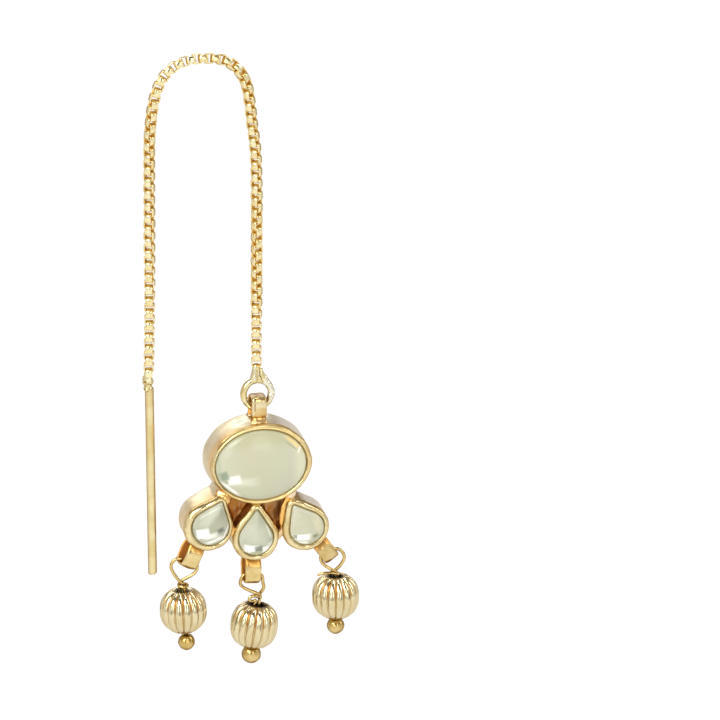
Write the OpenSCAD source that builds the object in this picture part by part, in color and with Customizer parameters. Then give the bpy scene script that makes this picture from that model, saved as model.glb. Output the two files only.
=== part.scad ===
// Threader earring: a box chain that hangs through the ear, with a straight bar on its free
// end and a ring on the other, which carries a pendant of four set stones and three bead drops.
// The chain's hoop lies in the XZ plane with its crown at the origin, and the pendant faces -Y.

/* [Chain] */
// Distance between the middles of two neighbouring links
link_pitch = 0.665; // [0.65:0.005:0.68]
// Length of a link along the chain
link_long = 1.07; // [1.05:0.01:1.08]
// Width of a link's outline across the chain
link_wide = 1.14; // [1.12:0.01:1.2]
// Width of the flat strip that a link is bent from
link_strip = 0.52; // [0.48:0.01:0.54]
// Thickness of that strip
link_thick = 0.1; // [0.08:0.01:0.11]
// Cut-off corner of a link's outline
link_corner = 0.26; // [0.2:0.02:0.3]

/* [Bar and ring] */
// Length of the threader bar, its soldered top included
bar_length = 21.1; // [18:0.1:24]
// Diameter of the threader bar
bar_diameter = 0.95; // [0.8:0.05:1]
// Lean of the bar out of plumb, in degrees
bar_lean = 0.8; // [0:0.1:1.5]
// Outer diameter of the hanging ring
ring_outer = 3.7; // [3.6:0.05:3.8]
// Diameter of the ring's wire
ring_wire = 0.69; // [0.64:0.01:0.72]

/* [Settings] */
// Depth of the settings from front rim to back
setting_deep = 4; // [3.6:0.1:4.4]
// Thickness of a setting's wall
rim = 0.5; // [0.44:0.02:0.56]
// Thickness of the back plate
floor_thick = 0.5; // [0.4:0.05:0.7]
// Long axis of the oval stone's opening
oval_long = 10; // [9.6:0.1:10.4]
// Short axis of the oval stone's opening
oval_short = 7.94; // [7.6:0.1:8.2]
// Gap between a stone and its setting
stone_gap = 0.06; // [0.04:0.01:0.1]
// Rise of the oval stone's dome
oval_dome = 1.35; // [1:0.05:1.6]
// Rise of a pear stone's dome
pear_dome = 1.05; // [0.8:0.05:1.3]

/* [Straps] */
// Width of the flat strip of the bail and the strap loops
strap_wide = 1.8; // [1.6:0.05:1.9]
// Thickness of that strip
strap_thick = 0.3; // [0.25:0.01:0.32]
// Inner radius of the bend of the bail
bail_bend = 0.82; // [0.8:0.01:0.9]
// Inner radius of the bend of a strap loop
strap_bend = 0.65; // [0.6:0.01:0.7]
// Spread of a strap's legs out of parallel, in degrees
leg_spread = 6; // [0:1:8]

/* [Drops] */
// Diameter of a bead over its ribs
bead_diameter = 5.1; // [4.8:0.1:5.2]
// Number of ribs round a bead
bead_ribs = 16; // [12:1:18]
// Depth of the grooves between the ribs, as a share of the bead's radius
groove_share = 0.085; // [0.04:0.005:0.1]
// Height of a bead between its two flat ends
bead_height = 4.6; // [4.4:0.1:4.7]
// Diameter of a bead's hole
bead_hole = 1.3; // [1.2:0.05:1.4]
// Diameter of a head pin's wire
pin_wire = 0.33; // [0.28:0.01:0.36]

/* [Hidden] */

gold = "#e3cf8a";
satin_gold = "#e5cfa2";
antique_gold = "#c99a35";
stone_green = "#d6d8b8";

// Route of the chain from the bar, over the ear, to the ring.
// Columns: x, z, turn of the links about the chain in degrees.
route = [
    [-5.95, -34.75, -12],
    [-5.9, -31, -12],
    [-5.84, -27, -14],
    [-5.84, -19, -34],
    [-5.84, -12, -38],
    [-5.78, -8.3, -57],
    [-5.35, -4.6, -82],
    [-4.6, -2.35, -96],
    [-3.45, -0.95, -104],
    [-1.75, -0.15, -108],
    [0.2, 0, -109],
    [2.3, -0.36, -114],
    [3.7, -1.38, -123],
    [4.6, -2.9, -133],
    [5, -4.9, -142],
    [5.3, -7.6, -146],
    [5.68, -11, -146],
    [5.78, -15.3, -140],
    [5.78, -18.5, -123],
    [5.78, -21.5, -110],
    [5.75, -25.4, -126],
    [5.73, -29.2, -160],
    [5.72, -32, -168],
    [5.72, -34.95, -168]
];
route_last = len(route) - 1;
route_steps = 10;

// The route as a smooth curve through its rows, and the length of chain up to each point.
function between(a, b, c, d, t) =
    0.5 * (2 * b + (c - a) * t + (2 * a - 5 * b + 4 * c - d) * t * t + (3 * b - a - 3 * c + d) * t * t * t);
function route_row(i) = route[min(max(i, 0), route_last)];
curve = [
    for (i = [0 : route_last - 1])
        for (k = [0 : route_steps - 1])
            between(route_row(i - 1), route_row(i), route_row(i + 1), route_row(i + 2), k / route_steps),
    route[route_last]
];
function flat(row) = [row[0], row[1]];
run = [
    for (i = 0, s = 0; i < len(curve);
        s = s + (i + 1 < len(curve) ? norm(flat(curve[i + 1]) - flat(curve[i])) : 0), i = i + 1) s
];
function column(c) = [for (i = [0 : len(curve) - 1]) [run[i], curve[i][c]]];
run_x = column(0);
run_z = column(1);
run_turn = column(2);
chain_length = run[len(run) - 1];

// Links 0 and link_count are soldered in, the ones between them are free.
link_count = round(chain_length / link_pitch);
pitch = chain_length / link_count;
function chain_x(s) = lookup(s, run_x);
function chain_z(s) = lookup(s, run_z);
function heading(s) = atan2(chain_x(s + pitch / 2) - chain_x(s - pitch / 2), chain_z(s + pitch / 2) - chain_z(s - pitch / 2));

// The solder that holds an end link starts this far below the link's middle.
solder_start = 0.31;
lump_end = -36.8;
lump_radius = 0.58;
lump_shoulder = 0.3;
bar_top_x = -5.92;
bar_top = -36.4;
bar_chamfer = 0.1;

ring_x = 5.82;
ring_z = -37.9;
ring_mean = (ring_outer - ring_wire) / 2;
stem_narrow = 0.48;
stem_wide = 0.7;

// The pendant's parts are placed from the middle of the oval setting.
face_x = 5.82;
face_z = -45.35;
half_deep = setting_deep / 2;
half_long = oval_long / 2;
half_short = oval_short / 2;
oval_points = 60;
web_thick = 0.9;
girdle_depth = 0.3;
dome_rings = 5;

// The pear openings: a round end and a small tip, joined by straight sides.
// Columns: x and z of the round end's centre, its radius, distance to the tip's centre, lean in degrees.
PEAR_X = 0;
PEAR_Z = 1;
PEAR_R = 2;
PEAR_REACH = 3;
PEAR_LEAN = 4;
pears = [
    [-5.48, -6.65, 2.05, 2.84, -23.5],
    [-0.56, -8.28, 1.92, 2.98, -2],
    [5, -7.48, 1.92, 2.84, 29]
];
tip_radius = 0.25;
pear_arc = 26;
tip_arc = 5;

// Solder that joins two settings. Columns: x, z, radius.
solder_sides = 12;
solder_joints = [
    [-4.2, -3.35, 0.75],
    [-0.42, -4.5, 0.6],
    [3.3, -3.95, 0.8],
    [-3, -7.5, 0.6],
    [2.2, -7.9, 0.75]
];
// Outline of the plate that closes the back between the settings, columns x and z.
web = [[-4.4, -3], [-0.4, -4], [3.6, -3.2], [4.6, -7.2], [2.2, -8.6], [-0.5, -8.6], [-3, -8.2], [-5.2, -6.4]];

// The strap loops hang from the pears. Columns: lean in degrees, distance from the pear's centre to the bend's centre.
straps = [[-25, 4.52], [-1, 4.65], [36, 4.4]];
foot_sunk = 0.3;
bail_centre = -39.13 - face_z;
foot_pad = [1.7, 0.6, 2 * (bail_bend + strap_thick) + 1];
cut_past = 1;

// The three drops. Columns: neck x and z, ball x and z, ball radius, bead x and z.
NECK_X = 0;
NECK_Z = 1;
BALL_X = 2;
BALL_Z = 3;
BALL_R = 4;
BEAD_X = 5;
BEAD_Z = 6;
drops = [
    [-8, -13.42, -7.78, -20.05, 0.9, -8.12, -16.46],
    [0.24, -15.4, -0.72, -21.95, 1.03, -0.4, -18.68],
    [8.5, -13.28, 8.49, -19.4, 0.93, 8.5, -16.06]
];
// Corners of each wire loop from left to right, columns x and z.
loops = [
    [[-9.5, -11.95], [-8.87, -10.24], [-6.28, -11.55]],
    [[-1.95, -14.35], [-1.78, -12.72], [0.72, -13.38]],
    [[6.38, -11.94], [9.15, -10.3], [9.65, -11.75]]
];
loop_bend = 0.5;
bend_steps = 5;
wire_sides = 6;
neck_share = 0.6;
wrap_turns = 2;
wrap_radius = 0.34;
wrap_step = 0.9;
wire_faces = 24;

bead_rings = 9;
rib_points = 4;
round_faces = 48;

// A link, with the chain running along Z and its opening along Y.
function cut_square(long, wide, c) =
    let (u = long / 2, v = wide / 2)
    [[v - c, -u], [v, c - u], [v, u - c], [v - c, u], [c - v, u], [-v, u - c], [-v, c - u], [c - v, -u]];

module chain_link() {
    inner_corner = link_corner - link_thick;
    rotate([90, 0, 0])
        linear_extrude(height = link_strip, center = true)
            difference() {
                polygon(cut_square(link_long, link_wide, link_corner));
                polygon(cut_square(link_long - 2 * link_thick, link_wide - 2 * link_thick, inner_corner));
            }
}

// The link at a place in the chain. Every second one is turned a quarter.
module placed_link(i) {
    s = min(max(i * pitch, 0), chain_length);
    translate([chain_x(s), 0, chain_z(s)])
        rotate([0, heading(s), 0])
            rotate([0, 0, lookup(s, run_turn) + 90 * (i % 2)])
                chain_link();
}

module box_chain() {
    color(gold)
        for (i = [1 : link_count - 1]) placed_link(i);
}

// The bar's profile, turned about its axis: flat at the top, the lower edge broken.
module bar_rod() {
    r = bar_diameter / 2;
    rotate([0, -bar_lean, 0])
        rotate_extrude($fn = round_faces)
            polygon([[0, -bar_length], [r - bar_chamfer, -bar_length], [r, bar_chamfer - bar_length], [r, 0], [0, 0]]);
}

module threader_bar() {
    lump_x = (chain_x(0) + bar_top_x) / 2;
    lump_top = chain_z(0) - solder_start;
    color(gold) {
        placed_link(0);
        translate([lump_x, 0, 0])
            rotate_extrude($fn = round_faces)
                polygon([
                    [0, lump_end], [lump_radius - lump_shoulder / 2, lump_end],
                    [lump_radius, lump_end + lump_shoulder], [lump_radius, lump_top - lump_shoulder],
                    [lump_radius - lump_shoulder, lump_top], [0, lump_top]
                ]);
        translate([bar_top_x, 0, bar_top]) bar_rod();
    }
}

module hanging_ring() {
    stem_top = chain_z(chain_length) - solder_start;
    stem_end = ring_z + ring_mean;
    color(gold) {
        placed_link(link_count);
        translate([ring_x, 0, ring_z])
            rotate([90, 0, 0])
                rotate_extrude($fn = round_faces)
                    translate([ring_mean, 0]) circle(d = ring_wire, $fn = wire_faces);
        translate([(chain_x(chain_length) + ring_x) / 2, 0, stem_end])
            cylinder(h = stem_top - stem_end, r1 = stem_wide, r2 = stem_narrow, $fn = round_faces);
    }
}

// Everything of the pendant is drawn in its face: X to the right, Y up, Z out towards the front.
module in_face(x = 0, z = 0) {
    translate([face_x + x, 0, face_z + z]) rotate([90, 0, 0]) children();
}

function oval_outline(grow) =
    [for (i = [0 : oval_points - 1])
        let (a = 360 * i / oval_points) [(half_long + grow) * cos(a), (half_short + grow) * sin(a)]];

function pear_outline(pear, grow) =
    let (
        r = pear[PEAR_R] + grow,
        tip = tip_radius + grow,
        slant = asin((r - tip) / pear[PEAR_REACH]),
        sweep = 180 + 2 * slant
    )
    concat(
        [for (i = [0 : pear_arc]) let (a = 180 - slant + sweep * i / pear_arc) [r * cos(a), r * sin(a)]],
        [for (i = [0 : tip_arc])
            let (a = slant + (180 - 2 * slant) * i / tip_arc) [tip * cos(a), pear[PEAR_REACH] + tip * sin(a)]]
    );

module at_pear(pear) {
    in_face(pear[PEAR_X], pear[PEAR_Z]) rotate([0, 0, pear[PEAR_LEAN]]) children();
}

// A strip bent round to a strap: the bend at the origin, its two legs rising to leg_rise.
module strap_outline(r, leg_rise) {
    circle(r = r, $fn = round_faces);
    polygon([
        [r * cos(leg_spread), -r * sin(leg_spread)],
        [r / cos(leg_spread) + leg_rise * tan(leg_spread), leg_rise],
        [-r / cos(leg_spread) - leg_rise * tan(leg_spread), leg_rise],
        [-r * cos(leg_spread), -r * sin(leg_spread)]
    ]);
}

module strap(bend, leg_rise) {
    rotate([0, 90, 0])
        linear_extrude(height = strap_wide, center = true)
            difference() {
                strap_outline(bend + strap_thick, leg_rise);
                strap_outline(bend, leg_rise + cut_past);
            }
}

module bail() {
    foot = half_short + rim - foot_sunk;
    in_face(0, bail_centre) rotate([0, 0, 180]) strap(bail_bend, bail_centre - foot);
    in_face(0, foot + foot_pad[1] / 2)
        cube(foot_pad, center = true);
}

module strap_loop(pear, spec) {
    lean = spec[0];
    reach = spec[1];
    in_face(pear[PEAR_X] + reach * sin(lean), pear[PEAR_Z] - reach * cos(lean))
        rotate([0, 0, lean])
            strap(strap_bend, reach - pear[PEAR_R] - rim + foot_sunk);
}

module pendant_frame() {
    color(satin_gold) {
        difference() {
            union() {
                in_face() linear_extrude(height = setting_deep, center = true) polygon(oval_outline(rim));
                for (pear = pears)
                    at_pear(pear) linear_extrude(height = setting_deep, center = true) polygon(pear_outline(pear, rim));
                for (joint = solder_joints)
                    in_face(joint[0], joint[1])
                        translate([0, 0, -half_deep]) cylinder(h = setting_deep - rim, r = joint[2], $fn = solder_sides);
                in_face() translate([0, 0, -half_deep]) linear_extrude(height = web_thick) polygon(web);
            }
            in_face() translate([0, 0, floor_thick - half_deep])
                linear_extrude(height = setting_deep) polygon(oval_outline(0));
            for (pear = pears)
                at_pear(pear) translate([0, 0, floor_thick - half_deep])
                    linear_extrude(height = setting_deep) polygon(pear_outline(pear, 0));
        }
        bail();
        for (i = [0 : len(pears) - 1]) strap_loop(pears[i], straps[i]);
    }
}

// A domed stone over a closed outline. Its girdle stands just under the rim of the setting.
module cabochon(outline, dome) {
    n = len(outline);
    base = floor_thick + stone_gap - half_deep;
    base_share = 0.96;
    base_bevel = 0.3;
    girdle = half_deep - girdle_depth;
    levels = concat(
        [[base_share, base], [1, base + base_bevel]],
        [for (k = [0 : dome_rings - 1]) let (a = 90 * k / dome_rings) [cos(a), girdle + dome * sin(a)]]
    );
    top = len(levels) - 1;
    points = concat(
        [for (level = levels) for (p = outline) [p[0] * level[0], p[1] * level[0], level[1]]],
        [[0, 0, base], [0, 0, girdle + dome]]
    );
    faces = concat(
        [for (k = [0 : top - 1]) for (i = [0 : n - 1])
            let (j = (i + 1) % n) for (half = [0, 1])
                half == 0 ? [k * n + i, (k + 1) * n + j, k * n + j] : [k * n + i, (k + 1) * n + i, (k + 1) * n + j]],
        [for (i = [0 : n - 1]) let (j = (i + 1) % n) [i, j, (top + 1) * n]],
        [for (i = [0 : n - 1]) let (j = (i + 1) % n) [top * n + j, top * n + i, (top + 1) * n + 1]]
    );
    polyhedron(points, faces);
}

module stone_oval() {
    color(stone_green) in_face() cabochon(oval_outline(-stone_gap), oval_dome);
}

module stone_pear(pear) {
    color(stone_green) at_pear(pear) cabochon(pear_outline(pear, -stone_gap), pear_dome);
}

// A bead with convex ribs from one flat end to the other, drilled along its axis.
module bead(drop) {
    r = bead_diameter / 2;
    n = bead_ribs * rib_points;
    end_angle = asin(bead_height / bead_diameter);
    top = bead_rings - 1;
    points = concat(
        [for (k = [0 : top]) let (up = end_angle * (2 * k / top - 1))
            for (i = [0 : n - 1]) let (
                around = 360 * i / n,
                rib = 1 - groove_share * (1 - abs(cos(around * bead_ribs / 2)))
            ) [r * cos(up) * rib * cos(around), r * cos(up) * rib * sin(around), r * sin(up)]],
        [[0, 0, -bead_height / 2], [0, 0, bead_height / 2]]
    );
    faces = concat(
        [for (k = [0 : top - 1]) for (i = [0 : n - 1])
            let (j = (i + 1) % n) for (half = [0, 1])
                half == 0 ? [k * n + i, (k + 1) * n + j, k * n + j] : [k * n + i, (k + 1) * n + i, (k + 1) * n + j]],
        [for (i = [0 : n - 1]) let (j = (i + 1) % n) [i, j, (top + 1) * n]],
        [for (i = [0 : n - 1]) let (j = (i + 1) % n) [top * n + j, top * n + i, (top + 1) * n + 1]]
    );
    color(gold)
        translate([face_x + drop[BEAD_X], 0, face_z + drop[BEAD_Z]])
            rotate([0, pin_lean(drop), 0])
                difference() {
                    polyhedron(points, faces);
                    cylinder(h = bead_height + cut_past, d = bead_hole, center = true, $fn = round_faces);
                }
}

function pin_lean(drop) = atan2(drop[NECK_X] - drop[BALL_X], drop[NECK_Z] - drop[BALL_Z]);

// A rounded corner of the wire at b, on the way from a to c.
function soft_corner(a, b, c) =
    let (
        from = b + (a - b) * loop_bend / norm(a - b),
        to = b + (c - b) * loop_bend / norm(c - b)
    )
    [for (i = [0 : bend_steps]) let (t = i / bend_steps)
        (1 - t) * (1 - t) * from + 2 * t * (1 - t) * b + t * t * to];

function loop_path(drop, corners) =
    let (
        neck = [drop[NECK_X], drop[NECK_Z]],
        half = [pin_wire * neck_share, 0],
        stops = concat([neck - half], corners, [neck + half])
    )
    concat(
        [stops[0]],
        [for (i = [1 : len(stops) - 2]) each soft_corner(stops[i - 1], stops[i], stops[i + 1])],
        [stops[len(stops) - 1]]
    );

// A round wire along points of the XZ plane, closed at both ends.
module bent_wire(path, d) {
    last = len(path) - 1;
    n = wire_sides;
    points = [
        for (i = [0 : last])
            let (
                way = path[min(i + 1, last)] - path[max(i - 1, 0)],
                side = [way[1], -way[0]] / norm(way)
            )
            for (k = [0 : n - 1])
                let (a = 360 * k / n, out = d / 2 * cos(a))
                [path[i][0] + side[0] * out, d / 2 * sin(a), path[i][1] + side[1] * out]
    ];
    faces = concat(
        [[for (k = [0 : n - 1]) k]],
        [for (i = [0 : last - 1]) for (k = [0 : n - 1])
            let (m = (k + 1) % n) for (half = [0, 1])
                half == 0 ? [i * n + k, (i + 1) * n + m, i * n + m] : [i * n + k, (i + 1) * n + k, (i + 1) * n + m]],
        [[for (k = [0 : n - 1]) last * n + n - 1 - k]]
    );
    polyhedron(points, faces);
}

module head_pin(drop, corners) {
    length = norm([drop[NECK_X] - drop[BALL_X], drop[NECK_Z] - drop[BALL_Z]]);
    color(antique_gold) {
        translate([face_x, 0, face_z]) bent_wire(loop_path(drop, corners), pin_wire);
        translate([face_x + drop[BALL_X], 0, face_z + drop[BALL_Z]])
            rotate([0, pin_lean(drop), 0]) {
                sphere(r = drop[BALL_R], $fn = round_faces);
                cylinder(h = length, d = pin_wire, $fn = wire_faces);
                translate([0, 0, length]) cylinder(h = wrap_turns * pin_wire, r = wrap_radius, center = true, $fn = wire_faces);
                for (i = [0 : wrap_turns - 1])
                    translate([0, 0, length + (i - (wrap_turns - 1) / 2) * pin_wire * wrap_step])
                        rotate_extrude($fn = round_faces) translate([wrap_radius, 0]) circle(d = pin_wire, $fn = wire_faces);
            }
    }
}

threader_bar();
box_chain();
hanging_ring();
pendant_frame();
stone_oval();
stone_pear(pears[0]);  // stone_pear_left
stone_pear(pears[1]);  // stone_pear_middle
stone_pear(pears[2]);  // stone_pear_right
bead(drops[0]);  // bead_left
bead(drops[1]);  // bead_middle
bead(drops[2]);  // bead_right
head_pin(drops[0], loops[0]);  // head_pin_left
head_pin(drops[1], loops[1]);  // head_pin_middle
head_pin(drops[2], loops[2]);  // head_pin_right
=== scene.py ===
import math

import bmesh
import bpy
import numpy as np
from mathutils import Matrix, Vector, noise


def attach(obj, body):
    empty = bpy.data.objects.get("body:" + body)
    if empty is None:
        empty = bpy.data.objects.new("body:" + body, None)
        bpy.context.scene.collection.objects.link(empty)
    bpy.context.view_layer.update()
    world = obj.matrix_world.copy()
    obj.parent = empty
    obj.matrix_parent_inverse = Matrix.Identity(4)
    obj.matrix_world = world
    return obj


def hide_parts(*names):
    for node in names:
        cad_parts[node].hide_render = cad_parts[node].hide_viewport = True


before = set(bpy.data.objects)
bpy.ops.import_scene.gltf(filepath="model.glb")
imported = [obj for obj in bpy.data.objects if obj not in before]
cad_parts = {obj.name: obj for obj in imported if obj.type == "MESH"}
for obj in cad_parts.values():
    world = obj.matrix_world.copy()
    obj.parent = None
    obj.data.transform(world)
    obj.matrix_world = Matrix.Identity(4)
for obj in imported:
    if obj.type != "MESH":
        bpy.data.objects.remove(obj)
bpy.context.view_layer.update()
mm = 0.001

# Shapes are worked out in millimetres and become metres when a piece is finished.

cameraLook = {
    "azimuth": -12.0,
    "elevation": 19.0,
    "target": (16.99, 0.0, -34.95),  # the point in the middle of the picture
    "frameWidth": 76.7,
    "lens": 1000.0,
    "sensor": 36.0,
}


def addObject(name, data):
    item = bpy.data.objects.new(name, data)
    bpy.context.scene.collection.objects.link(item)
    return item


def aim(item, way):  # turns a camera or a lamp to look along a direction
    item.rotation_mode = "QUATERNION"
    item.rotation_quaternion = way.to_track_quat("-Z", "Y")


def makeCamera(look):
    az, el = math.radians(look["azimuth"]), math.radians(look["elevation"])
    back = Vector((math.sin(az) * math.cos(el), -math.cos(az) * math.cos(el), math.sin(el)))
    data = bpy.data.cameras.new("camera")
    data.lens = look["lens"]
    data.sensor_width = look["sensor"]
    data.clip_end = 100
    camera = addObject("camera", data)
    away = back * look["frameWidth"] * look["lens"] / look["sensor"]
    camera.location = (Vector(look["target"]) + away) * mm
    aim(camera, -back)
    bpy.context.scene.camera = camera


makeCamera(cameraLook)
print("camera ready")


# Nodes

def feed(tree, node, inputs):
    # Each input gets a value, a socket to link from, or a node, whose first output is meant.
    for key, value in dict(inputs).items():
        if isinstance(value, bpy.types.Node):
            value = value.outputs[0]
        if isinstance(value, bpy.types.NodeSocket):
            tree.links.new(value, node.inputs[key])
        else:
            node.inputs[key].default_value = value


def nodeAt(tree, kind, x, y, inputs=(), **settings):
    node = tree.nodes.new(kind)
    node.location = (x, y)
    for key, value in settings.items():
        setattr(node, key, value)
    feed(tree, node, inputs)
    return node


def maths(tree, operation, x, y, *values):
    return nodeAt(tree, "ShaderNodeMath", x, y, enumerate(values), operation=operation).outputs[0]


def ranged(tree, x, y, value, low, high, first=0.0, last=1.0, smooth=False):
    # What runs from low to high comes out from first to last.
    inputs = {"Value": value, "From Min": low, "From Max": high, "To Min": first, "To Max": last}
    kind = "SMOOTHSTEP" if smooth else "LINEAR"
    return nodeAt(tree, "ShaderNodeMapRange", x, y, inputs, interpolation_type=kind).outputs["Result"]


def mixOver(tree, x, y, under, over, mask, kind="RGBA"):  # lays one over the other where the mask is 1
    inputs = {"Factor": mask, "A": under, "B": over}
    return nodeAt(tree, "ShaderNodeMix", x, y, inputs, data_type=kind).outputs["Result"]


def screenColour(r, g, b):  # a picture's 0 to 255 values as a linear colour
    return tuple(((c / 255 + 0.055) / 1.055) ** 2.4 for c in (r, g, b)) + (1.0,)


def newGroup(name, kind, inputs, outputs):
    group = bpy.data.node_groups.new(name, kind)
    for way, sockets in (("INPUT", inputs), ("OUTPUT", outputs)):
        for label, socketKind in sockets.items():
            group.interface.new_socket(label, in_out=way, socket_type="NodeSocket" + socketKind)
    start = nodeAt(group, "NodeGroupInput", -1400, 0)
    end = nodeAt(group, "NodeGroupOutput", 900, 0)
    return group, start.outputs, end


def makeHandFinish():  # cloudy tone and fine dents of metal that was worked by hand
    inputs = {"Light tone": "Color", "Dark tone": "Color"}
    for name in ("Clouds per metre", "Grains per metre", "Grain depth", "Smooth", "Rough"):
        inputs[name] = "Float"
    outputs = {"Colour": "Color", "Roughness": "Float", "Normal": "Vector"}
    group, given, end = newGroup("hand finish", "ShaderNodeTree", inputs, outputs)
    spot = nodeAt(group, "ShaderNodeTexCoord", -1200, -300).outputs["Object"]
    clouds = nodeAt(group, "ShaderNodeTexNoise", -900, 200, {
        "Vector": spot,
        "Scale": given["Clouds per metre"],
        "Detail": 3.0,
    })
    grain = nodeAt(group, "ShaderNodeTexNoise", -900, -300, {
        "Vector": spot,
        "Scale": given["Grains per metre"],
        "Detail": 2.0,
    })
    cloud = ranged(group, -600, 200, clouds.outputs["Fac"], 0.35, 0.65)
    depth = {"Height": grain.outputs["Fac"], "Distance": given["Grain depth"]}
    feed(group, end, {
        "Colour": mixOver(group, -300, 300, given["Light tone"], given["Dark tone"], cloud),
        "Roughness": ranged(group, -300, 0, cloud, 0.0, 1.0, given["Smooth"], given["Rough"]),
        "Normal": nodeAt(group, "ShaderNodeBump", -300, -300, depth),
    })
    return group


def makeSoftPatch():  # 1 inside the square from -1 to 1, falling off to 0 over its edge
    inputs = {"Vector": "Vector", "Softness": "Float", "Strength": "Float"}
    group, given, end = newGroup("soft patch", "ShaderNodeTree", inputs, {"Mask": "Float"})
    parts = nodeAt(group, "ShaderNodeSeparateXYZ", -1100, 0, {"Vector": given["Vector"]}).outputs
    wide = maths(group, "ABSOLUTE", -900, 100, parts["X"])
    high = maths(group, "ABSOLUTE", -900, -100, parts["Z"])
    reach = maths(group, "SMOOTH_MAX", -700, 0, wide, high, 0.3)
    inner = maths(group, "SUBTRACT", -700, -200, 1.0, given["Softness"])
    outer = maths(group, "ADD", -700, -400, 1.0, given["Softness"])
    fall = ranged(group, -400, 0, reach, inner, outer, 1.0, 0.0, smooth=True)
    feed(group, end, {"Mask": maths(group, "MULTIPLY", -100, 0, fall, given["Strength"])})
    return group


handFinish = makeHandFinish()
softPatch = makeSoftPatch()


def startMaterial(name):
    material = bpy.data.materials.new(name)
    material.use_nodes = True
    tree = material.node_tree
    shader = tree.nodes["Principled BSDF"]
    shader.location = (400, 0)
    tree.nodes["Material Output"].location = (750, 0)
    return material, tree, shader


# How far the metal turns away from the camera where its painted edge shade starts and where it is full
edgeShadeStart, edgeShadeEnd = 0.35, 0.85


def metalMaterial(name, look, marks=()):
    # Each mark is an attribute of the piece, the colour it turns the metal to and its roughness.
    material, tree, shader = startMaterial(name)
    finish = nodeAt(tree, "ShaderNodeGroup", -700, 0, {
        "Light tone": screenColour(*look["light"]),
        "Dark tone": screenColour(*look["dark"]),
        "Clouds per metre": look["clouds"],
        "Grains per metre": look["grains"],
        "Grain depth": look["grainDepth"] * mm,
        "Smooth": look["smooth"],
        "Rough": look["rough"],
    }, node_tree=handFinish).outputs
    colour, rough = finish["Colour"], finish["Roughness"]
    for i, (attribute, markColour, markRough) in enumerate(marks):
        x = 200 * i - 400
        mask = nodeAt(tree, "ShaderNodeAttribute", x, -400, attribute_name=attribute).outputs["Fac"]
        colour = mixOver(tree, x, 200, colour, screenColour(*markColour), mask)
        rough = mixOver(tree, x, -100, rough, markRough, mask, "FLOAT")
    # Painted shade: the colour darkens where the metal turns away from the camera.
    turned = nodeAt(tree, "ShaderNodeLayerWeight", 0, 500, {"Blend": 0.5}).outputs["Facing"]
    turnedShade = ranged(tree, 0, 300, turned, look.get("edgeShadeFrom", edgeShadeStart), edgeShadeEnd, 0.0, look["edge"])
    colour = mixOver(tree, 200, 300, colour, screenColour(*look["paintedEdgeShade"]), turnedShade)
    if "blackTone" in look:  # the black patch shows the same from every side
        mask = nodeAt(tree, "ShaderNodeAttribute", 200, 700, attribute_name="blackPatch").outputs["Fac"]
        colour = mixOver(tree, 300, 500, colour, screenColour(*look["blackTone"]), mask)
    feed(tree, shader, {
        "Metallic": 1.0,
        "Specular Tint": look["grazing"],  # tone of the metal where it turns away
        "Base Color": colour,
        "Roughness": rough,
        "Normal": finish["Normal"],
    })
    return material


warmEdge = (0.55, 0.46, 0.38, 1)
paleEdge = (0.86, 0.83, 0.77, 1)
polishedGold = metalMaterial("polished gold", {
    "light": (222, 210, 164), "dark": (210, 190, 133), "clouds": 500.0,
    "grains": 6000.0, "grainDepth": 0.004, "smooth": 0.1, "rough": 0.2,
    "paintedEdgeShade": (158, 118, 80), "edge": 0.85, "edgeShadeFrom": 0.1, "grazing": warmEdge,
})
# Its inner mark is painted orange reflection and shade on the links' inner faces.
chainGold = metalMaterial("chain gold", {
    "light": (236, 225, 182), "dark": (226, 208, 154), "clouds": 900.0,
    "grains": 6000.0, "grainDepth": 0.004, "smooth": 0.16, "rough": 0.26,
    "paintedEdgeShade": (208, 170, 108), "edge": 0.5, "grazing": warmEdge,
}, [("inner", (246, 214, 130), 0.45)])
# Its pale mark is painted light on the top and bottom of the oval's lip.
brightGold = metalMaterial("burnished rim gold", {
    "light": (224, 209, 163), "dark": (211, 187, 132), "clouds": 900.0,
    "grains": 2500.0, "grainDepth": 0.004, "smooth": 0.2, "rough": 0.32,
    "paintedEdgeShade": (206, 164, 102), "edge": 0.5, "grazing": warmEdge,
}, [("pale", (238, 213, 150), 0.42)])
satinGold = metalMaterial("satin gold", {
    "light": (232, 223, 200), "dark": (209, 197, 168), "clouds": 450.0,
    "grains": 2600.0, "grainDepth": 0.01, "smooth": 0.28, "rough": 0.42,
    "paintedEdgeShade": (186, 170, 136), "edge": 0.3, "grazing": paleEdge,
}, [
    # painted light on the walls to the right
    ("pale", (252, 248, 242), 0.5),
    # solder tone with painted orange reflection and shade in crevices, on the left walls and on the bail's
    # foot
    ("solder", (234, 184, 107), 0.28),
    # painted shade, with painted reflected streaks, in the gaps between the settings
    ("paintedRecessShade", (172, 115, 53), 0.42),
])
solderedGold = metalMaterial("soldered gold", {
    "light": (223, 212, 168), "dark": (208, 189, 130), "clouds": 900.0,
    "grains": 4500.0, "grainDepth": 0.008, "smooth": 0.1, "rough": 0.2,
    "paintedEdgeShade": (150, 124, 84), "edge": 0.7, "grazing": warmEdge,
}, [
    # solder tone on the lumpy wire, and painted highlights on the stem
    ("solder", (226, 222, 200), 0.2),
    # painted shade in a gap and a line on the stem and in a dent of the bar's solder
    ("dent", (140, 96, 36), 0.4),
])
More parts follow.
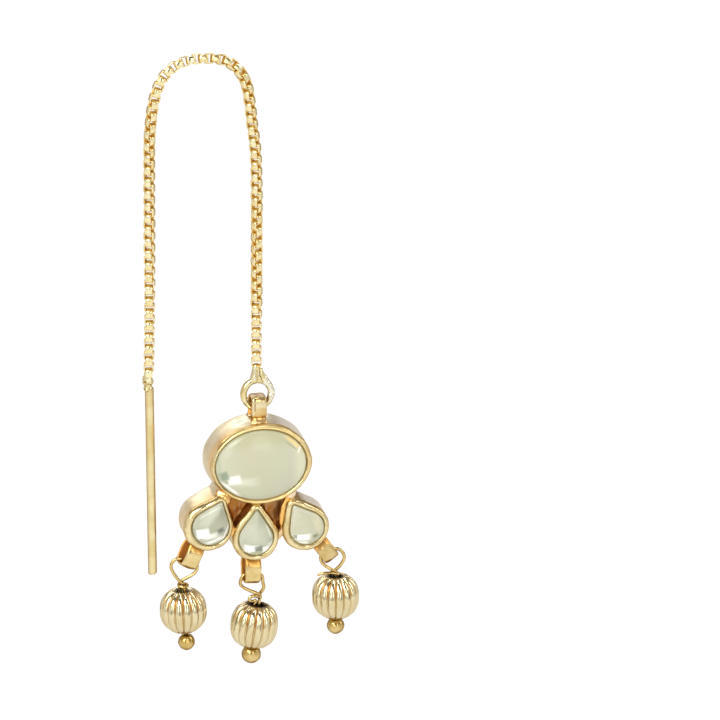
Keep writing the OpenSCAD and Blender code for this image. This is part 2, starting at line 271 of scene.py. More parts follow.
stripGold = metalMaterial("strip gold", {
    "light": (236, 218, 162), "dark": (220, 192, 124), "clouds": 900.0,
    "grains": 2500.0, "grainDepth": 0.008, "smooth": 0.12, "rough": 0.24,
    "paintedEdgeShade": (176, 124, 60), "edge": 0.6, "grazing": warmEdge,
}, [
    # painted orange shade on the inside of the strips
    ("inner", (232, 178, 100), 0.4),
    # solder tone with painted orange reflection on the strips' necks
    ("solder", (234, 182, 104), 0.34),
    # a worn top painted lighter and a painted highlight line on the bail
    ("wornAndHighlight", (255, 245, 220), 0.45),
    # a painted reflection patch on the bail's face
    ("pale", (246, 232, 190), 0.2),
    # painted shade on whole strips and in the bail's slit
    ("shade", (120, 84, 40), 0.25),
])
ribbedGold = metalMaterial("ribbed bead gold", {
    "light": (216, 204, 166), "dark": (206, 189, 144), "clouds": 500.0,
    "grains": 5000.0, "grainDepth": 0.0008, "smooth": 0.05, "rough": 0.12,
    "paintedEdgeShade": (208, 191, 164), "edge": 0.55, "grazing": (0.6, 0.54, 0.48, 1), "blackTone": (18, 18, 22),
}, [
    # painted light on the upper half of the bead
    ("pale", (220, 208, 168), 0.08),
    # painted light on the top of the bead
    ("crown", (238, 228, 194), 0.12),
    # painted shade in the grooves
    ("groove", (184, 132, 58), 0.3),
    # painted dark reflections as streaks on the ribs
    ("paintedStreak", (84, 58, 22), 0.12),
    ("blackPatch", (18, 18, 22), 0.7),
])
# Its dark edge tone paints shade along the edges of the pin wires and balls.
pinGold = metalMaterial("pin gold", {
    "light": (212, 188, 130), "dark": (192, 161, 94), "clouds": 900.0,
    "grains": 4000.0, "grainDepth": 0.01, "smooth": 0.14, "rough": 0.26,
    "paintedEdgeShade": (96, 66, 30), "edge": 0.9, "grazing": warmEdge,
})
print("metals ready")


# Shapes

def fade(values, start, width):  # 0 before the start and 1 past the width; a width below 0 runs the other way
    return np.clip((values - start) / width, 0, 1)


def bell(values, middle, width):  # 1 in the middle, falling off to both sides
    return np.exp(-((values - middle) / width) ** 2)


def smoothPath(rows, steps):  # a curve through all rows, whatever columns they have
    rows = np.array(rows, float)
    last = len(rows) - 1
    out = []
    for i in range(last):
        a, b, c, d = (rows[min(max(j, 0), last)] for j in (i - 1, i, i + 1, i + 2))
        for k in range(steps):
            t = k / steps
            bend = (2 * a - 5 * b + 4 * c - d) * t * t + (3 * b - a - 3 * c + d) * t ** 3
            out.append(0.5 * (2 * b + (c - a) * t + bend))
    out.append(rows[last])
    return np.array(out)


def evenPath(path, count):  # the same curve with points at equal steps along it
    steps = np.linalg.norm(np.diff(path[:, :3], axis=0), axis=1)
    along = np.concatenate([[0], np.cumsum(steps)])
    want = np.linspace(0, along[-1], count)
    return np.stack([np.interp(want, along, path[:, c]) for c in range(path.shape[1])], axis=1)


def gridFaces(rows, columns, rowsClose=False, columnsClose=True):
    faces = []
    for r in range(rows if rowsClose else rows - 1):
        for c in range(columns if columnsClose else columns - 1):
            low, high, right = r * columns, ((r + 1) % rows) * columns, (c + 1) % columns
            faces.append((low + c, low + right, high + right, high + c))
    return faces


def facedOut(mesh):  # turns every face outward
    work = bmesh.new()
    work.from_mesh(mesh)
    bmesh.ops.recalc_face_normals(work, faces=work.faces)
    work.to_mesh(mesh)
    work.free()
    return mesh


def meshFrom(name, points, faces):
    mesh = bpy.data.meshes.new(name)
    mesh.from_pydata([tuple(p) for p in points], [], faces)
    return facedOut(mesh)


def joinParts(parts):  # parts are pairs of points and faces
    points, faces = [], []
    for partPoints, partFaces in parts:
        first = len(points)
        points.extend(tuple(p) for p in partPoints)
        faces.extend(tuple(first + i for i in face) for face in partFaces)
    return points, faces


def cappedRings(rings):  # rings of equal length, closed at both ends by a fan
    count = len(rings[0])
    points = [p for ring in rings for p in ring]
    faces = gridFaces(len(rings), count)
    for ring, first in ((rings[0], 0), (rings[-1], (len(rings) - 1) * count)):
        points.append(tuple(np.mean(np.array(ring), axis=0)))
        faces.extend((first + i, first + (i + 1) % count, len(points) - 1) for i in range(count))
    return points, faces


def tube(path, radii, sides=16, roundness=4):
    # A round rod along a path, its ends domed. The radii run from end to end.
    path = np.array(path, float)
    along = np.gradient(path, axis=0)
    along /= np.linalg.norm(along, axis=1)[:, None]
    radii = np.interp(np.linspace(0, 1, len(path)), np.linspace(0, 1, len(radii)), radii)
    side = np.cross(along[0], (0.31, 0.85, 0.42))
    stops = [(path[0] - along[0] * radii[0] * math.cos(a), along[0], radii[0] * math.sin(a))
             for a in np.linspace(0.2, math.pi / 2, roundness, endpoint=False)]
    stops += [(path[i], along[i], radii[i]) for i in range(len(path))]
    stops += [(path[-1] + along[-1] * radii[-1] * math.cos(a), along[-1], radii[-1] * math.sin(a))
              for a in np.linspace(math.pi / 2, 0.2, roundness + 1)[1:]]
    rings = []
    for centre, way, radius in stops:
        side = side - way * np.dot(side, way)
        side /= np.linalg.norm(side)
        other = np.cross(way, side)
        angles = np.arange(sides) * 2 * math.pi / sides
        rings.append([centre + radius * (math.cos(a) * side + math.sin(a) * other) for a in angles])
    return cappedRings(rings)


def blob(centre, radii, lean=0.0, rough=0.0, seed=0.0, around=32, rows=20):
    # A lump like a ball, lean in degrees in the XZ plane, with dents of the given depth.
    rings = []
    turn = math.radians(lean)
    for up in np.linspace(-math.pi / 2, math.pi / 2, rows + 2)[1:-1]:
        ring = []
        for a in np.arange(around) * 2 * math.pi / around:
            way = Vector((math.cos(up) * math.cos(a), math.cos(up) * math.sin(a), math.sin(up)))
            swell = 1 + rough * noise.noise(way * 1.7 + Vector((seed, 0, 0)))
            x, y, z = (way[i] * radii[i] * swell for i in range(3))
            ring.append((centre[0] + x * math.cos(turn) + z * math.sin(turn), centre[1] + y,
                         centre[2] - x * math.sin(turn) + z * math.cos(turn)))
        rings.append(ring)
    return cappedRings(rings)


def dented(mesh, depth, size, seed=0.0, shares=None):  # moves points along their normals by smooth noise
    normals = [v.normal.copy() for v in mesh.vertices]
    if shares is None:
        shares = [1.0] * len(normals)
    for vertex, normal, share in zip(mesh.vertices, normals, shares):
        spot = vertex.co / size + Vector((seed, seed, seed))
        vertex.co += normal * depth * share * noise.noise(spot)
    mesh.update()


def putMask(mesh, name, values):
    attribute = mesh.attributes.new(name, "FLOAT", "POINT")
    attribute.data.foreach_set("value", np.clip(np.array(values, float), 0, 1))


def pointsOf(mesh):
    flat = np.empty(len(mesh.vertices) * 3)
    mesh.vertices.foreach_get("co", flat)
    return flat.reshape(-1, 3)


def takeMesh(bench, name):  # the evaluated shape of a bench object, which is then removed
    graph = bpy.context.evaluated_depsgraph_get()
    mesh = bpy.data.meshes.new_from_object(bench.evaluated_get(graph))
    mesh.name = name
    bpy.data.objects.remove(bench, do_unlink=True)
    return mesh


def fused(name, parts, voxel, smoothing):  # overlapping closed parts become one skin
    bench = addObject(name + " bench", meshFrom(name, *joinParts(parts)))
    remesh = bench.modifiers.new("one skin", "REMESH")
    remesh.mode = "VOXEL"
    remesh.voxel_size = voxel
    soft = bench.modifiers.new("soften", "SMOOTH")
    soft.factor = 0.5
    soft.iterations = smoothing
    return takeMesh(bench, name)


def throughNodes(name, mesh, tree, inputs):  # what a node tree makes of a mesh, its inputs set by their names
    bench = addObject(name + " bench", mesh)
    modifier = bench.modifiers.new(name, "NODES")
    modifier.node_group = tree
    for item in tree.interface.items_tree:
        if item.item_type == "SOCKET" and item.in_out == "INPUT" and item.name in inputs:
            modifier[item.identifier] = inputs[item.name]
    return takeMesh(bench, name)


def finishPiece(name, mesh, material, body, replaced):
    mesh.transform(Matrix.Scale(mm, 4))
    mesh.name = name
    if material is not None:
        mesh.materials.clear()
        mesh.materials.append(material)
    mesh.polygons.foreach_set("use_smooth", [True] * len(mesh.polygons))
    mesh.update()
    piece = addObject(name, mesh)
    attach(piece, body)
    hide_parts(*replaced)


# Chain

chain = {
    "pitch": 0.665,
    "looseTurn": 3.0,  # degrees that a link may stand out of line
    "sharpFrom": 50.0,
    # inputs of the node tree
    "link": {
        "Link length": 1.02,
        "Link width": 1.12,
        "Strip width": 0.72,
        "Strip thickness": 0.15,
        "Corner radius": 0.2,
        "Seed": 4,
    },
}
# x, z and turn of the links about the chain in degrees, from the bar over the ear to the ring
chainRoute = [
    (-5.95, -34.75, -12), (-5.9, -31, -12), (-5.84, -27, -14), (-5.84, -19, -34), (-5.84, -12, -38),
    (-5.78, -8.3, -57), (-5.35, -4.6, -82), (-4.6, -2.35, -96), (-3.45, -0.95, -104), (-1.75, -0.15, -108),
    (0.2, 0, -109), (2.3, -0.36, -114), (3.7, -1.38, -123), (4.6, -2.9, -133), (5, -4.9, -142),
    (5.3, -7.6, -146), (5.68, -11, -146), (5.78, -15.3, -140), (5.78, -18.5, -123), (5.78, -21.5, -110),
    (5.75, -25.4, -126), (5.73, -29.2, -160), (5.72, -32, -168), (5.72, -34.35, -168),
]


def makeChainTree():
    inputs = {"Geometry": "Geometry", "Link count": "Int"}
    sizes = ("Link length", "Link width", "Strip width", "Strip thickness", "Corner radius")
    for name in sizes + ("Loose turn",):
        inputs[name] = "Float"
    inputs.update({"Seed": "Int", "Metal": "Material"})
    tree, given, end = newGroup("box chain", "GeometryNodeTree", inputs, {"Geometry": "Geometry"})
    thick = given["Strip thickness"]
    # One link: a rounded square frame in the XY plane, bent from a flat strip, then stood up.
    square = "GeometryNodeCurvePrimitiveQuadrilateral"
    long = maths(tree, "SUBTRACT", -1200, 500, given["Link length"], thick)
    wide = maths(tree, "SUBTRACT", -1200, 350, given["Link width"], thick)
    edge = maths(tree, "MULTIPLY", -1000, 100, thick, 0.3)
    outline = nodeAt(tree, square, -1000, 450, {"Width": wide, "Height": long})
    section = nodeAt(tree, square, -1000, 250, {"Width": thick, "Height": given["Strip width"]})
    outline = {"Curve": outline, "Radius": given["Corner radius"], "Count": 3}
    section = {"Curve": section, "Radius": edge, "Count": 1}
    outline = nodeAt(tree, "GeometryNodeFilletCurve", -800, 450, outline, mode="POLY")
    section = nodeAt(tree, "GeometryNodeFilletCurve", -800, 250, section, mode="POLY")
    sweep = nodeAt(tree, "GeometryNodeCurveToMesh", -600, 400, {"Curve": outline, "Profile Curve": section})
    # All but the outer side faces is marked for painted orange reflection and shade, by the distance from the
    # link's sides.
    spot = nodeAt(tree, "GeometryNodeInputPosition", -1200, 900)
    apart = nodeAt(tree, "ShaderNodeSeparateXYZ", -1000, 900, {"Vector": spot}).outputs
    across = maths(tree, "ABSOLUTE", -800, 1000, apart["X"])
    halfWide = maths(tree, "MULTIPLY", -1000, 750, given["Link width"], 0.5)
    beyond = maths(tree, "SUBTRACT", -600, 1000, across, halfWide)
    skin = maths(tree, "MULTIPLY", -600, 700, thick, -0.9)
    shadedInside = maths(tree, "LESS_THAN", -250, 850, beyond, skin)
    stored = {"Geometry": sweep, "Name": "inner", "Value": shadedInside}
    marked = nodeAt(tree, "GeometryNodeStoreNamedAttribute", -400, 600, stored,
                    data_type="FLOAT", domain="POINT")
    upright = {"Geometry": marked, "Rotation": (math.pi / 2, 0, 0)}
    stand = nodeAt(tree, "GeometryNodeTransform", -200, 400, upright)
    # The links follow the route, each turned a quarter from the last.
    route = nodeAt(tree, "GeometryNodeMeshToCurve", -1200, -100, {"Mesh": given["Geometry"]})
    counted = {"Curve": route, "Count": given["Link count"]}
    even = nodeAt(tree, "GeometryNodeResampleCurve", -1000, -100, counted, mode="COUNT")
    spots = nodeAt(tree, "GeometryNodeCurveToPoints", -800, -100, {"Curve": even}, mode="EVALUATED").outputs
    along = nodeAt(tree, "FunctionNodeAlignRotationToVector", -500, -200, {"Vector": spots["Tangent"]},
                   axis="Z", pivot_axis="Y")
    turn = nodeAt(tree, "GeometryNodeInputNamedAttribute", -1000, -400, {"Name": "turn"}, data_type="FLOAT")
    index = nodeAt(tree, "GeometryNodeInputIndex", -1200, -600)
    odd = maths(tree, "MODULO", -1000, -600, index, 2.0)
    quarter = maths(tree, "MULTIPLY", -800, -600, odd, math.pi / 2)
    least = maths(tree, "MULTIPLY", -1000, -800, given["Loose turn"], -1.0)
    between = {2: least, 3: given["Loose turn"], "Seed": given["Seed"]}  # 2 and 3 are the least and the most
    loose = nodeAt(tree, "FunctionNodeRandomValue", -800, -800, between, data_type="FLOAT").outputs[1]
    turned = maths(tree, "ADD", -600, -500, turn.outputs["Attribute"], quarter)
    total = maths(tree, "ADD", -400, -500, turned, loose)
    spin = nodeAt(tree, "FunctionNodeAxisAngleToRotation", -200, -500, {"Axis": (0, 0, 1), "Angle": total})
    both = {"Rotation": along, "Rotate By": spin}
    rotate = nodeAt(tree, "FunctionNodeRotateRotation", 0, -200, both, rotation_space="LOCAL")
    placed = {"Points": spots["Points"], "Instance": stand, "Rotation": rotate}
    place = nodeAt(tree, "GeometryNodeInstanceOnPoints", 200, 100, placed)
    real = nodeAt(tree, "GeometryNodeRealizeInstances", 400, 100, {"Geometry": place})
    metal = nodeAt(tree, "GeometryNodeSetMaterial", 600, 100, {"Geometry": real, "Material": given["Metal"]})
    feed(tree, end, {"Geometry": metal})
    return tree


def makeChain():
    path = smoothPath([(x, 0, z, math.radians(turn + 90)) for x, z, turn in chainRoute], 10)
    length = np.linalg.norm(np.diff(path[:, :3], axis=0), axis=1).sum()
    mesh = bpy.data.meshes.new("chain route")
    mesh.from_pydata([tuple(p[:3]) for p in path], [(i, i + 1) for i in range(len(path) - 1)], [])
    mesh.attributes.new("turn", "FLOAT", "POINT").data.foreach_set("value", path[:, 3])
    links = throughNodes("chain", mesh, makeChainTree(), {
        **chain["link"],
        "Link count": round(length / chain["pitch"]) + 1,
        "Loose turn": math.radians(chain["looseTurn"]),
        "Metal": chainGold,
    })
    links.set_sharp_from_angle(angle=math.radians(chain["sharpFrom"]))
    finishPiece("chain_links", links, None, "threader", ["box_chain"])


makeChain()
print("chain ready")


# Bar

bar = {
    "topX": -5.92,
    "top": -36.4,
    "length": 21.1,
    "radius": 0.475,
    "lean": 0.8,
    "wobble": 0.01,  # how far the drawn surface wanders
    "cutDepth": 0.07,  # roughness of the sawn end
    "brokenCorner": 0.34,
    "darkSpot": (-6.42, -0.3, -35.62),  # painted shade of a dent in the solder
}
# Centre, radii and lean of the solder that was melted over the chain's end link
lumpBlobs = [
    ((-6.07, 0.0, -34.85), (0.35, 0.36, 0.5), 0),
    ((-6.12, 0.0, -35.48), (0.58, 0.52, 0.5), 8),
    ((-5.86, -0.16, -35.6), (0.36, 0.36, 0.5), -14),
    ((-6.36, -0.12, -35.78), (0.3, 0.38, 0.28), 20),
    ((-6.06, -0.02, -36.36), (0.46, 0.5, 0.5), 0),
    ((-6.16, -0.14, -36.62), (0.36, 0.4, 0.26), 22),
]


def makeRod():
    radius, length = bar["radius"], bar["length"]
    profile = [(0.3, 0.0), (0.44, -0.03), (radius, -0.12)]
    profile += [(radius, -t) for t in np.linspace(0.3, length - 0.25, 90)]
    profile += [(radius, 0.14 - length), (radius - 0.02, 0.06 - length), (radius - 0.08, 0.01 - length)]
    profile += [(0.26, -length), (0.12, -length)]
    lean = Matrix.Rotation(math.radians(-bar["lean"]), 3, "Y")
    rings = []
    for wide, height in profile:
        ring = []
        for a in np.arange(40) * 2 * math.pi / 40:
            out = Vector((math.cos(a), math.sin(a), 0))
            r = wide + bar["wobble"] * noise.noise(Vector((out.x, out.y, height * 0.6)) * 1.4)
            z = height
            if height < 0.3 - length:
                z += bar["cutDepth"] * (1 + noise.noise(Vector((out.x * r, out.y * r, 3)) * 5.5))
                z += bar["brokenCorner"] * max(0, out.x * r - 0.1)
            ring.append(lean @ Vector((out.x * r, out.y * r, z)) + Vector((bar["topX"], 0, bar["top"])))
        rings.append(ring)
    mesh = meshFrom("bar_rod", *cappedRings(rings))
    finishPiece("bar_rod", mesh, polishedGold, "threader", ["threader_bar"])


def makeLump():
    parts = []
    for i, (centre, radii, lean) in enumerate(lumpBlobs):
        parts.append(blob(centre, radii, lean, rough=0.2, seed=i * 3.1))
    lump = fused("bar_lump", parts, voxel=0.035, smoothing=2)
    dented(lump, depth=0.06, size=0.45, seed=4.0)
    dented(lump, depth=0.012, size=0.18, seed=8.0)
    # Painted shade of a dent in the solder
    dark = 1 - np.linalg.norm((pointsOf(lump) - bar["darkSpot"]) / (0.2, 0.5, 0.2), axis=1)
    putMask(lump, "dent", dark * 2)
    finishPiece("bar_lump", lump, solderedGold, "threader", ["threader_bar"])


makeRod()
makeLump()
print("bar ready")


# Hanging ring

hangingRing = {
    "centre": (5.82, 0.0, -37.9),
    "meanRadius": 1.505,
    "wireRadius": 0.36,
    "voxel": 0.045,
    # degrees from the top over which the wire is lumpy with solder
    "lumpyFrom": 14,
    "lumpyTo": 128,
}
# Middle lines and radii of the two rods of solder above the ring
armPath = [(6.18, 0.0, -35.3), (6.3, 0.0, -35.75), (6.62, 0, -36.3)]
armRadii = [0.2, 0.3, 0.36, 0.38, 0.36, 0.33]
stemPath = [(5.7, 0, -34.9), (5.66, 0, -35.4), (5.58, 0, -35.9), (5.5, 0, -36.35)]
stemRadii = [0.42, 0.43, 0.44, 0.5, 0.46]


def onRing(degrees, spread=0.0):  # a place on the ring's middle line
    x, y, z = hangingRing["centre"]
    a, reach = math.radians(degrees), hangingRing["meanRadius"] + spread
    return (x + reach * math.sin(a), y, z + reach * math.cos(a))


def markSolder(mesh, spots, lumpy):  # painted highlights as a pale stripe and facet, painted shade as a dark gap and line on the front of the stem
    x, y, z = spots.T
    front = y < 0
    upper = (z > -36.4) * front
    gapMiddle = 6.02 + 0.38 * np.clip(-35.6 - z, 0, 1) ** 1.4
    gap = (1 - np.abs(x - gapMiddle) / 0.1) * (z > -36.6) * (z < -35.3) * front
    line = 0.6 * bell(x, 5.7, 0.06) * upper * (z < -35.1)
    highlightStripe = 0.9 * bell(x, 5.42, 0.1) * upper
    highlightFacet = np.clip(1.4 - np.hypot((x - 6.02) / 0.14, (z + 35.65) / 0.3), 0, 1) * upper
    # The pale tone is solder on the lumpy wire and painted highlight on the stem; the dark tone is painted
    # shade.
    putMask(mesh, "solder", np.max([lumpy, highlightStripe, highlightFacet], axis=0))
    putMask(mesh, "dent", np.maximum(gap, line))


def makeRing():
    wire = hangingRing["wireRadius"]
    arm = smoothPath(armPath + [onRing(50, 0.02), onRing(80, 0.03), onRing(108)], 6)
    parts = [
        tube([onRing(a) for a in range(18, 379, 6)], [wire, wire], sides=24),
        tube(arm, armRadii, sides=24),
        tube(smoothPath(stemPath, 6), stemRadii, sides=24),
        blob((6.0, 0, -36.15), (0.55, 0.36, 0.36), lean=10, rough=0.2, seed=1.0),
        blob(onRing(55), (0.4, 0.42, 0.42), rough=0.25, seed=2.0),
        blob(onRing(98), (0.4, 0.42, 0.4), rough=0.25, seed=5.0),
        blob((6.24, -0.06, -35.22), (0.17, 0.2, 0.15), rough=0.2, seed=7.0),
        blob((5.3, 0, -36.45), (0.5, 0.32, 0.3), lean=-30, rough=0.1, seed=9.0),
    ]
    mesh = fused("ring_wire", parts, hangingRing["voxel"], smoothing=3)
    dented(mesh, depth=0.02, size=0.5, seed=2.0)
    spots = pointsOf(mesh)
    middle = hangingRing["centre"]
    bearing = np.degrees(np.arctan2(spots[:, 0] - middle[0], spots[:, 2] - middle[2]))
    lumpy = fade(bearing, hangingRing["lumpyFrom"], 16) * fade(bearing, hangingRing["lumpyTo"], -16)
    dented(mesh, depth=0.05, size=0.34, seed=6.0, shares=lumpy)
    markSolder(mesh, spots, lumpy)
    finishPiece("ring_wire", mesh, solderedGold, "threader", ["hanging_ring"])


makeRing()
print("ring ready")


# Pendant settings. Their shapes are drawn in the face: x to the right, y up, depth towards the front.

face = {"x": 5.82, "z": -45.35}
settings = {
    "back": -2.0,
    "wallTop": 1.55,
    "seat": 1.22,  # the stones rest here
    "webTop": -0.1,
    "voxel": 0.08,
}
# How far each wall stands out at its front and at its back.
# Its lip: mean reach, extra reach and the bearing of that in degrees, inner edge.
wallShapes = {
    "oval": {"front": 0.4, "back": 0.66, "lip": 0.49, "push": 0.11, "bearing": -5.0, "inner": -0.1},
    "left": {"front": 0.46, "back": 0.74, "lip": 0.63, "push": 0.2, "bearing": 205.0, "inner": -0.14},
    "middle": {"front": 0.5, "back": 0.58, "lip": 0.65, "push": 0.04, "bearing": 200.0, "inner": -0.14},
    "right": {"front": 0.5, "back": 0.6, "lip": 0.66, "push": 0.14, "bearing": 200.0, "inner": -0.14},
}
ovalShape = {"halfLong": 5.0, "halfShort": 3.97}
# Centre of the round end, its radius, distance to the tip's centre and lean in degrees
pearShapes = {
    "left": (-5.48, -6.65, 2.05, 2.84, -23.5),
    "middle": (-0.56, -8.28, 1.92, 2.98, -2.0),
    "right": (5.0, -7.48, 1.92, 2.84, 29.0),
}
tipRadius = 0.25


def toWorld(points):
    points = np.array(points, float)
    return np.stack([face["x"] + points[:, 0], -points[:, 2], face["z"] + points[:, 1]], axis=1)


def ovalOutline(count=180):
    a = np.arange(count) * 2 * math.pi / count
    points = np.stack([ovalShape["halfLong"] * np.cos(a), ovalShape["halfShort"] * np.sin(a)], axis=1)
    normals = np.stack([np.cos(a) / ovalShape["halfLong"], np.sin(a) / ovalShape["halfShort"]], axis=1)
    return points, normals / np.linalg.norm(normals, axis=1)[:, None], np.zeros(2)


def pearOutline(shape, arc=70, side=26, tip=14):
    cx, cy, r, reach, lean = shape
    slant = math.asin((r - tipRadius) / reach)
    points, normals = [], []

    def addArc(radius, height, first, sweep, steps):
        for k in range(steps + 1):
            a = first + sweep * k / steps
            points.append((radius * math.cos(a), height + radius * math.sin(a)))
            normals.append((math.cos(a), math.sin(a)))

    def addSide(start, stop, normal):
        for k in range(1, side):
            t = k / side
            points.append(tuple(np.array(start) * (1 - t) + np.array(stop) * t))
            normals.append(normal)

    c, s = math.cos(slant), math.sin(slant)
    low, high = (r * c, r * s), (tipRadius * c, reach + tipRadius * s)
    addArc(r, 0, math.pi - slant, math.pi + 2 * slant, arc)
    addSide(low, high, (c, s))
    addArc(tipRadius, reach, slant, math.pi - 2 * slant, tip)
    addSide((-high[0], high[1]), (-low[0], low[1]), (-c, s))
    turn = math.radians(lean)
    spin = np.array([[math.cos(turn), math.sin(turn)], [-math.sin(turn), math.cos(turn)]])
    return np.array(points) @ spin + (cx, cy), np.array(normals) @ spin, np.array((cx, cy))


outlines = {"oval": ovalOutline()}
for pearName, pearShape in pearShapes.items():
    outlines[pearName] = pearOutline(pearShape)


def level(flat, depth):  # places in the face as points at one depth
    return np.column_stack([flat, np.full(len(flat), depth)])


def settingBody(name):
    back, top, seat = settings["back"], settings["wallTop"], settings["seat"]
    front, wide = wallShapes[name]["front"], wallShapes[name]["back"]
    points, normals = outlines[name][:2]
    rows = [(wide - 0.3, back), (wide - 0.1, back + 0.03), (wide - 0.02, back + 0.12), (wide, back + 0.3)]
    for t in np.linspace(0.1, 1, 8):
        rows.append((wide + (front - wide) * t, back + 0.3 + (top - back - 0.35) * t))
    rows += [(front - 0.05, top), (0.08, top), (0.02, top - 0.05), (0.0, seat)]
    return cappedRings([toWorld(level(points + normals * grow, depth)) for grow, depth in rows])


def insideOf(outlineName, flat):  # signed distance from a setting's opening, negative inside
    if outlineName == "oval":
        scaled = flat / (ovalShape["halfLong"], ovalShape["halfShort"])
        reach = np.linalg.norm(scaled, axis=1)
        return (reach - 1) * np.linalg.norm(flat, axis=1) / np.maximum(reach, 0.01)
    cx, cy, r, distance, lean = pearShapes[outlineName]
    turn = math.radians(lean)
    local = flat - (cx, cy)
    x = np.abs(local[:, 0] * math.cos(turn) + local[:, 1] * math.sin(turn))
    y = -local[:, 0] * math.sin(turn) + local[:, 1] * math.cos(turn)
    b = (r - tipRadius) / distance
    a = math.sqrt(1 - b * b)
    k = -b * x + a * y
    low = np.linalg.norm(np.stack([x, y], axis=1), axis=1) - r
    high = np.linalg.norm(np.stack([x, y - distance], axis=1), axis=1) - tipRadius
    return np.where(k < 0, low, np.where(k > a * distance, high, a * x + b * y - r))


# The plate between the settings
webOutline = [
    (-4.4, -3), (-0.4, -4), (3.6, -3.2), (4.6, -7.2), (2.2, -8.6), (-0.5, -8.6), (-3, -8.2), (-5.2, -6.4),
]
# Solder that joins the settings: x, y, radius across, radius along, lean, front depth
solderJoints = [
    (-4.3, -3.3, 0.45, 0.6, 40, 1.25), (-3.75, -3.75, 0.45, 0.75, 50, 1.82),
    (-0.42, -4.5, 0.6, 0.45, 0, 1.7), (3.35, -3.7, 0.6, 0.7, -50, 1.75),
    (-2.98, -7.35, 0.34, 1.15, 18, 1.72), (2.35, -7.75, 0.34, 1.15, -20, 1.72),
]
# Gold that ran down beside the right pear, in the gap, and along the bail's foot
gapRidge = [(2.82, -4.4, 1.2), (2.6, -5.2, 1.2), (2.42, -6.0, 1.15), (2.34, -6.9, 1.2)]
footRidge = [(-0.7, 4.52, 0.85), (-0.3, 4.56, 0.88), (0.3, 4.56, 0.88), (0.7, 4.52, 0.85)]


def solderJoint(x, y, across, along, lean, front):
    low = settings["back"]
    c, s = math.cos(math.radians(lean)), math.sin(math.radians(lean))
    rows = [(0.9, low + 0.1), (1.0, low + 0.5), (1.0, front - 0.4), (0.8, front - 0.12), (0.4, front)]
    rings = []
    for share, depth in rows:
        ring = []
        for a in np.arange(28) * 2 * math.pi / 28:
            u, v = across * share * math.cos(a), along * share * math.sin(a)
            ring.append((x + u * c - v * s, y + u * s + v * c))
        rings.append(toWorld(level(ring, depth)))
    return cappedRings(rings)


def softened(mesh, shares, turns):  # evens out the skin where the shares are above 0
    pairs = np.empty(len(mesh.edges) * 2, int)
    mesh.edges.foreach_get("vertices", pairs)
    a, b = pairs[0::2], pairs[1::2]
    spots = pointsOf(mesh)
    count = len(spots)
    near = np.bincount(pairs, minlength=count)[:, None]
    for turn in range(turns):
        total = [np.bincount(a, spots[b, k], count) + np.bincount(b, spots[a, k], count) for k in range(3)]
        spots += 0.5 * shares[:, None] * (np.stack(total, axis=1) / near - spots)
    mesh.vertices.foreach_set("co", spots.ravel())
    mesh.update()


def placesOn(mesh):  # the points of a piece in the face, and their distances from the two nearest openings
    spots = pointsOf(mesh)
    flat = np.stack([spots[:, 0] - face["x"], spots[:, 2] - face["z"]], axis=1)
    gaps = np.sort(np.stack([insideOf(name, flat) for name in outlines]), axis=0)
    return flat[:, 0], flat[:, 1], -spots[:, 1], gaps[0], gaps[1]


def markSettings(mesh):
    x, y, depth, nearest, second = placesOn(mesh)
    crevice = (1 - fade(nearest + second, 1.2, 0.8)) * fade(depth, -0.8, 0.8)  # solder tone with painted orange reflection and shade where two settings come close
    wall = 0.75 * fade(depth, 0.2, 1.3) * fade(x, -1.5, -2)  # painted golden reflection on the walls on the left
    wall = np.maximum(wall, 0.4 * fade(depth, 1.1, 0.4))  # and just behind every lip
    wall += 0.2 * fade(x, -3.2, -2) * fade(depth, -1.6, 1.5)
    wall += 0.2 * fade(x, -4.5, -1.5) * fade(y, -4.5, -1.5)
    foot = fade(np.abs(x), 0.95, -0.2) * (y > 3.6) * fade(depth, 0.1, 0.4)  # solder tone with painted orange reflection on the bail's foot
    foot *= 0.9 * (1 - 0.35 * bell(y, 4.56, 0.16))  # with a painted paler reflected line across it
    ridge = np.min([np.hypot(x - rx, y - ry) for rx, ry in smoothPath(gapRidge, 6)[:, :2]], axis=0)
    ridge = fade(ridge, 0.66, -0.2) * fade(depth, 0.4, 0.3)  # gold that ran down
    # Painted shade makes the gaps between the settings dark, and painted reflections streak them up and down.
    between = (nearest > 0.3) * (y < -3.4) * (y > -8.0) * (np.abs(x) < 4.6)
    deep = fade(depth, 1.5, -0.5) * fade(depth, -1.35, 0.2)
    reflectedStreaks = np.array([noise.noise(Vector((u / 0.3, v / 1.3, w))) for u, v, w in zip(x, y, depth)])
    # Painted light on the walls at the upper right and far right
    putMask(mesh, "pale", np.maximum(fade(x, 1.2, 1.5) * fade(y, -4.5, 1), fade(x, 4.6, 0.6)))
    putMask(mesh, "solder", np.max([crevice, wall, foot, ridge], axis=0))
    putMask(mesh, "paintedRecessShade", between * deep * (1 - ridge) * (1.02 + 0.5 * reflectedStreaks) * (1 - 0.12 * (x > 0)))


